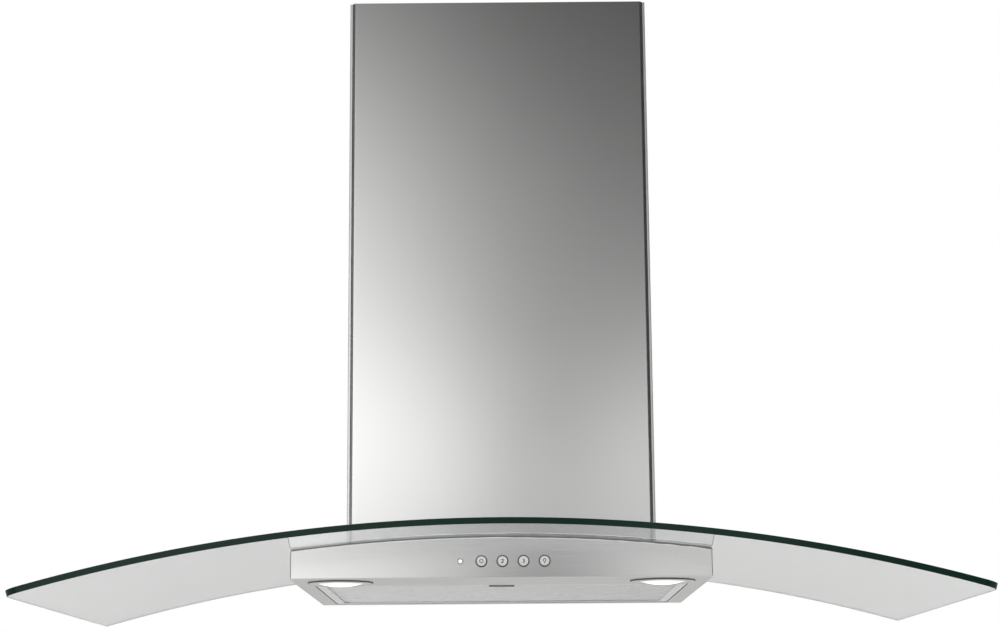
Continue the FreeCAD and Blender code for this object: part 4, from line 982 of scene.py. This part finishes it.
@dataclass
class GreaseFilter:
    """Two sheets of expanded aluminium with a corrugated foil core between them."""

    # The face sheet is drawn as rolled flat, so that from a low angle it reads as one bright skin.
    face_sheet: ExpandedSheet = ExpandedSheet("filter_face_sheet", 1.9 * MM, 0.3 * MM, 0.0, 30.0, 6 * MM, 4 * MM)
    back_sheet: ExpandedSheet = ExpandedSheet("filter_back_sheet", 1.3 * MM, 0.7 * MM, 24.0)
    sheet_room: float = 1 * MM   # height that each sheet has in the CAD pack
    face_share: float = 0.3      # of that height, under the middle of the face sheet
    core_share: float = 1.4      # of that height, free over and under the core
    border: float = 6.5 * MM     # the core ends this far inside the CAD pack, under the frame's lip
    edge: float = 1 * MM         # the sheets end this far inside it
    bay_half: float = 15 * MM    # latch bay, which stays free
    bay_clear: float = 2.5 * MM
    family_gap: float = 0.02 * MM   # keeps the two families of strands off one plane
    wave: float = 7 * MM
    wave_steps: int = 8
    foil: float = 0.2 * MM

    def build(self) -> None:
        """Replace the CAD pack by both sheets, and put the core between them."""
        low, high = self.low, self.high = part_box("filter_mesh")
        self.x, self.y0, self.y1 = high.x - self.border, low.y + self.border, high.y - self.border
        self.bay_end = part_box("latch_spring")[1].y + self.bay_clear
        self.draw_sheet(self.face_sheet, low.z + self.face_share * self.sheet_room, "filter_mesh")
        self.draw_sheet(self.back_sheet, high.z - self.sheet_room / 2)
        core, room = Draft(), (high.z - low.z) / 2 - self.core_share * self.sheet_room
        for x0, x1, y0 in ((-self.x, -self.bay_half, self.y0), (self.bay_half, self.x, self.y0),
                           (-self.bay_half, self.bay_half, self.bay_end)):
            self.add_core(core, (x0, x1), y0, (low.z + high.z) / 2, room - self.foil)
        self.finish(core.piece("filter_foil_core", sharp=60))

    def finish(self, piece: bpy.types.Object, stands_for: str | None = None) -> None:
        """Dress a filter piece and hang it on the filter's body."""
        settle(piece, SLOT_FINISHES["filter_aluminium"], "grease_filter", stands_for)

    def draw_sheet(self, sheet: ExpandedSheet, level: float, stands_for: str | None = None) -> None:
        """Make one expanded sheet: two families of parallel strands that bond where they cross.

        Args:
            sheet: its measures.
            level: height of the sheet's middle.
            stands_for: CAD node that it replaces, if any.
        """
        draft = Draft()
        step_x, step_y = sheet.pitch_x / 2, sheet.pitch_y / 2
        middle_y, reach = (self.y0 + self.y1) / 2, math.hypot(self.x, self.y1 - self.y0)
        spin = Matrix.Rotation(math.radians(sheet.slant), 2)
        count = 2 * int(reach / step_y)
        for lean in (-1, 1):
            for line in range(-count, count + 1, 2):
                run: list[Vector] = []
                for i in range(-count, count + 1):
                    flat = spin @ Vector((i * step_x, (line + lean * i) * step_y))
                    place = Vector((flat.x, flat.y + middle_y, level + lean * self.family_gap))
                    if self.holds(place):
                        run.append(place)
                        continue
                    if len(run) > 1:
                        self.add_strand(draft, run[0], run[-1], sheet, lean)
                    run = []
        self.finish(draft.piece(sheet.name, smooth=False), stands_for)

    def holds(self, place: Vector) -> bool:
        """Tell whether a place lies inside the frame's channel and outside the latch bay."""
        across = abs(place.x) < self.high.x - self.edge
        inside = across and self.low.y + self.edge < place.y < self.high.y - self.edge
        return inside and not (abs(place.x) < self.bay_half and place.y < self.bay_end)

    def add_strand(self, draft: Draft, start: Vector, end: Vector, sheet: ExpandedSheet, lean: int) -> None:
        """Add one flat strand, turned about its own length.

        Args:
            draft: what takes the strand.
            start: middle of the bond where it begins.
            end: middle of the bond where it ends.
            sheet: measures of its sheet.
            lean: which way the strand is turned.
        """
        along = (end - start).normalized()
        across = Vector((-along.y, along.x, 0.0))
        turn = math.radians(sheet.tilt) * lean
        wide = (across * math.cos(turn) + Vector((0, 0, 1)) * math.sin(turn)) * sheet.strand_width / 2
        thick = along.cross(wide).normalized() * sheet.strand_thick / 2
        past = along * sheet.strand_thick / 2
        draft.loft([[tip + wide * u + thick * v for u, v in ((-1, -1), (1, -1), (1, 1), (-1, 1))]
                    for tip in (start - past, end + past)])

    def add_core(self, draft: Draft, x_range: tuple[float, float], y0: float, middle: float,
                 swing: float) -> None:
        """Add one corrugated stretch of foil.

        Args:
            draft: what takes the foil.
            x_range: left and right end.
            y0: front end.
            middle: height that the waves swing about.
            swing: half the height of a wave.
        """
        x0, x1 = x_range
        rings = []
        for k in range(int((self.y1 - y0) / self.wave * self.wave_steps) + 1):
            y = y0 + self.wave * k / self.wave_steps
            under, over = about(middle + swing * math.sin(math.tau * k / self.wave_steps), self.foil / 2)
            rings.append([(x0, y, under), (x0, y, over), (x1, y, over), (x1, y, under)])
        draft.loft(rings)


# ---- fascia ends
@dataclass
class FasciaJoints:
    """Fine dark lines at the ends of the control fascia, read from the photo: painted shade of the bend where each
    end meets the side cheeks.
    """

    width: float = 0.45 * MM
    proud: float = 0.06 * MM
    inset: float = 0.8 * MM      # from the fascia's end, past its rounded edge
    margin: float = 1.2 * MM     # free at the bends above and below

    def build(self) -> None:
        """Lay one line of painted shade at each end."""
        low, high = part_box("control_fascia")
        half = high.x - self.inset
        top = glass_top(half) - Canopy.thickness - self.margin
        for side, word in SIDES:
            x0, x1 = side * half, side * (half - self.width)
            front, back = about(low.y, self.proud)
            draft = Draft()
            draft.loft([[(x0, front, z), (x1, front, z), (x1, back, z), (x0, back, z)]
                        for z in (low.z + self.margin, top)])
            # Painted shade: a near-black line at each end of the fascia.
            settle(draft.piece(f"fascia_joint_{word}", smooth=False), SEALANT, "hood")


# ---- controls
class Sign(Enum):
    """What is printed on a push-button, by the word that ends the names of its node and its body."""

    RING = "ring"
    TWO = "two"
    THREE = "three"
    LAMP = "lamp"


def arc(x: float, z: float, radius: float, start: float, end: float,
        steps: int = 20) -> list[tuple[float, float]]:
    """Points of an arc.

    Args:
        x: centre, to the right, in millimetres.
        z: centre, upwards, in millimetres.
        radius: radius in millimetres.
        start: first angle in degrees, from the right anticlockwise.
        end: last angle in degrees.
        steps: number of chords.

    Returns:
        The points in order.
    """
    angles = [math.radians(start + (end - start) * i / steps) for i in range(steps + 1)]
    return [(x + radius * math.cos(a), z + radius * math.sin(a)) for a in angles]


@dataclass
class ButtonSigns:
    """Thin dark prints on the faces of the four push-buttons, drawn as pen strokes."""

    print_thick: float = 0.05 * MM
    sink_share: float = 0.4      # of the print's thickness, sunk in the button
    pens: dict[Sign, float] = field(default_factory=lambda: {
        Sign.RING: 0.55, Sign.TWO: 0.75, Sign.THREE: 0.65, Sign.LAMP: 0.65})   # widths in millimetres

    def strokes(self, sign: Sign) -> list[list[tuple[float, float]]]:
        """Pen lines of a sign, in millimetres about the button's centre."""
        if sign is Sign.RING:
            return [arc(0, 0, 1.65, 0, 360, 48)]
        if sign is Sign.TWO:
            return [arc(0, 0.7, 0.85, 165, -35) + [(-0.95, -1.5), (0.98, -1.5)]]
        if sign is Sign.THREE:
            return [arc(-0.05, 0.8, 0.8, 150, -80) + arc(-0.05, -0.75, 0.92, 85, -150)]
        bulb = [(-0.6, -0.65)] + arc(0, 0.6, 1.25, 235, -55, 32) + [(0.6, -0.65)]
        return [bulb, [(-0.6, -1.25), (0.6, -1.25)], [(-0.38, -1.88), (0.38, -1.88)]]

    def build(self) -> None:
        """Print each sign and let it ride on its button."""
        for sign, pen in self.pens.items():
            low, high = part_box(f"button_{sign.value}")
            centre = Vector(((low.x + high.x) / 2, low.y, (low.z + high.z) / 2))
            draft = Draft()
            for line in self.strokes(sign):
                self.add_stroke(draft, line, pen / 2, centre)
            drawn = draft.piece(f"sign_{sign.value}", smooth=False)
            settle(drawn, SIGN_PRINT, f"key_{sign.value}")

    def add_stroke(self, draft: Draft, line: Sequence[tuple[float, float]], half: float,
                   centre: Vector) -> None:
        """Add one pen line as a thin raised ribbon with mitred joints.

        Args:
            draft: what takes the ribbon.
            line: its points in millimetres about the button's centre.
            half: half the pen's width in millimetres.
            centre: middle of the button's face.
        """
        closed = (Vector(line[0]) - Vector(line[-1])).length < 1e-6
        spots = [Vector(p) for p in (line[:-1] if closed else line)]
        count = len(spots)
        raised, sunk = centre.y - self.print_thick, centre.y + self.sink_share * self.print_thick
        rings = []
        for i, spot in enumerate(spots):
            before = spots[i - 1] if i or closed else spot - (spots[1] - spot)
            after = spots[(i + 1) % count] if i + 1 < count or closed else spot + (spot - spots[i - 1])
            into, out = (spot - before).normalized(), (after - spot).normalized()
            along = (into + out).normalized()
            side = Vector((-along.y, along.x)) * half / max(along.dot(into), 0.5)
            (x0, z0), (x1, z1) = ((centre.x + edge.x * MM, centre.z + edge.y * MM)
                                  for edge in (spot - side, spot + side))
            rings.append([(x0, raised, z0), (x0, sunk, z0), (x1, sunk, z1), (x1, raised, z1)])
        draft.loft(rings, closed)


# ---- screws that show
@dataclass(frozen=True)
class PanHead:
    """A pan-head screw with a cross recess, lying along X."""

    centre: Vector               # middle of the head's seat
    side: int                    # -1 where the head looks left, 1 where it looks right
    radius: float
    height: float
    stem: float = 1.6 * MM
    stem_length: float = 6 * MM
    rings: int = 12
    sides: int = 48
    rim_share: float = 0.45      # of the head's height, at its rim
    recess_share: float = 0.55   # of the head's height, how deep the cross goes
    arm_half: float = 0.14       # of the head's radius
    arm_reach: float = 0.62

    def draw(self, draft: Draft) -> None:
        """Add the screw, its head domed and recessed, its stem going inwards."""
        profile: list[tuple[float, float | None]] = [
            (self.radius * k / self.rings, None) for k in range(1, self.rings + 1)]
        profile += [(self.radius, 0.0), (self.stem, 0.0), (self.stem, -self.stem_length)]
        rings = []
        for reach, level in profile:
            ring = []
            for k in range(self.sides):
                angle = math.tau * k / self.sides
                u, v = reach * math.cos(angle), reach * math.sin(angle)
                out = self.crown(u, v) if level is None else level
                ring.append(self.centre + Vector((self.side * out, u, v)))
            rings.append(ring)
        draft.loft(rings, tip=self.centre + Vector((self.side * self.crown(0, 0), 0, 0)))

    def crown(self, u: float, v: float) -> float:
        """Height of the head's face over its seat.

        Args:
            u: place along the first arm of the cross.
            v: place along the second arm.

        Returns:
            The height there, lower inside the cross.
        """
        away = min(math.hypot(u, v) / self.radius, 1.0)
        dome = self.height * (self.rim_share + (1 - self.rim_share) * math.sqrt(1 - away ** 2))
        half, reach = self.arm_half * self.radius, self.arm_reach * self.radius
        inside = max(min(half - abs(u), reach - abs(v)), min(half - abs(v), reach - abs(u)))
        return dome - self.recess_share * self.height * min(max(inside / (0.5 * half), 0.0), 1.0)


@dataclass
class SideScrews:
    """The screws on the left and right walls of both chimneys."""

    # CAD node: body, height of the head
    groups: dict[str, tuple[str, float]] = field(default_factory=lambda: {
        "chimney_screws": ("hood", 1.6 * MM), "ceiling_screws": ("chimney_extension", 1.2 * MM)})

    def build(self) -> None:
        """Replace each group of CAD screws."""
        for node, (body, height) in self.groups.items():
            low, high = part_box(node)
            draft = Draft()
            for side, _ in SIDES:
                centre = Vector((side * (high.x - height), (low.y + high.y) / 2, (low.z + high.z) / 2))
                PanHead(centre, side, (high.z - low.z) / 2, height).draw(draft)
            screws = draft.piece(f"{node}_cross", sharp=50)
            settle(screws, SLOT_FINISHES["zinc_screws"], body, node)


# ---- carried-over CAD pieces
@dataclass
class CadPieces:
    """Pieces that keep their CAD shape and get their finish here."""

    # The bottom frame's darker steel is painted shade; the lamp gaskets' dark tone is partly painted shade.
    own: dict[str, Finish] = field(default_factory=lambda: {
        "control_fascia": SHEET_LEVEL, "hood_body": SHEET_LEVEL, "bottom_frame": SHEET_UNDER,
        "glass_seal": SEAL, "button_bezels": BEZEL, "lamp_gasket_left": GASKET, "lamp_gasket_right": GASKET})
    lit: tuple[str, ...] = ("lamp_lens_left", "lamp_lens_right")
    # width of the round in millimetres: nodes
    rounds: dict[float, tuple[str, ...]] = field(default_factory=lambda: {
        0.15: ("button_bezels",),
        0.3: ("upper_chimney", "lamp_bezel_left", "lamp_bezel_right", "motor_spider"),
        0.35: ("bottom_frame", "filter_frame"),
        0.4: ("hood_body", "blower_tower", "canopy_bracket_left", "canopy_bracket_right"),
        0.5: ("filter_latch", "ceiling_bracket", "outlet_collar", "cable_gland"),
        0.6: ("terminal_box", "switch_block", "glass_pads")})

    def build(self) -> None:
        """Give every CAD piece its own finish or that of its slot in the record."""
        widths = {name: width * MM for width, names in self.rounds.items() for name in names}
        for name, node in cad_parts.items():
            slot = node.data.materials[0].name.split(".")[0]
            finish = self.own.get(name, SLOT_FINISHES.get(slot))
            if slot == "frosted_lens":
                finish = self.lens_finish(name)
            if finish is None:
                continue
            finish.dress(node)
            if name in widths:
                round_edges(node, widths[name])
            LOG.info("%s: %s", name, finish.name)

    def lens_finish(self, name: str) -> LitOpal:
        """Glow centred on a lens.

        Args:
            name: node of the lens.

        Returns:
            Its finish; the pilot's lens gets a small glowing core behind a duller rim, a painted highlight.
        """
        low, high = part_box(name)
        x, y, z = (low + high) / 2
        if name in self.lit:
            return LitOpal(f"opal_{name}", (x, y, low.z))
        # The pilot's small glowing core is a painted highlight.
        return LitOpal(f"opal_{name}", (x, low.y, z), rim=0.05, core_mm=0.4, rim_mm=1.9)


def main() -> None:
    """Build every group in order."""
    logging.basicConfig(level=logging.INFO, format="%(name)s %(message)s")
    for group in (Studio(), CadPieces(), Canopy(), ChimneyCover(), GreaseFilter(), FasciaJoints(),
                  ButtonSigns(), SideScrews()):
        group.build()


if __name__ == "__main__":
    main()
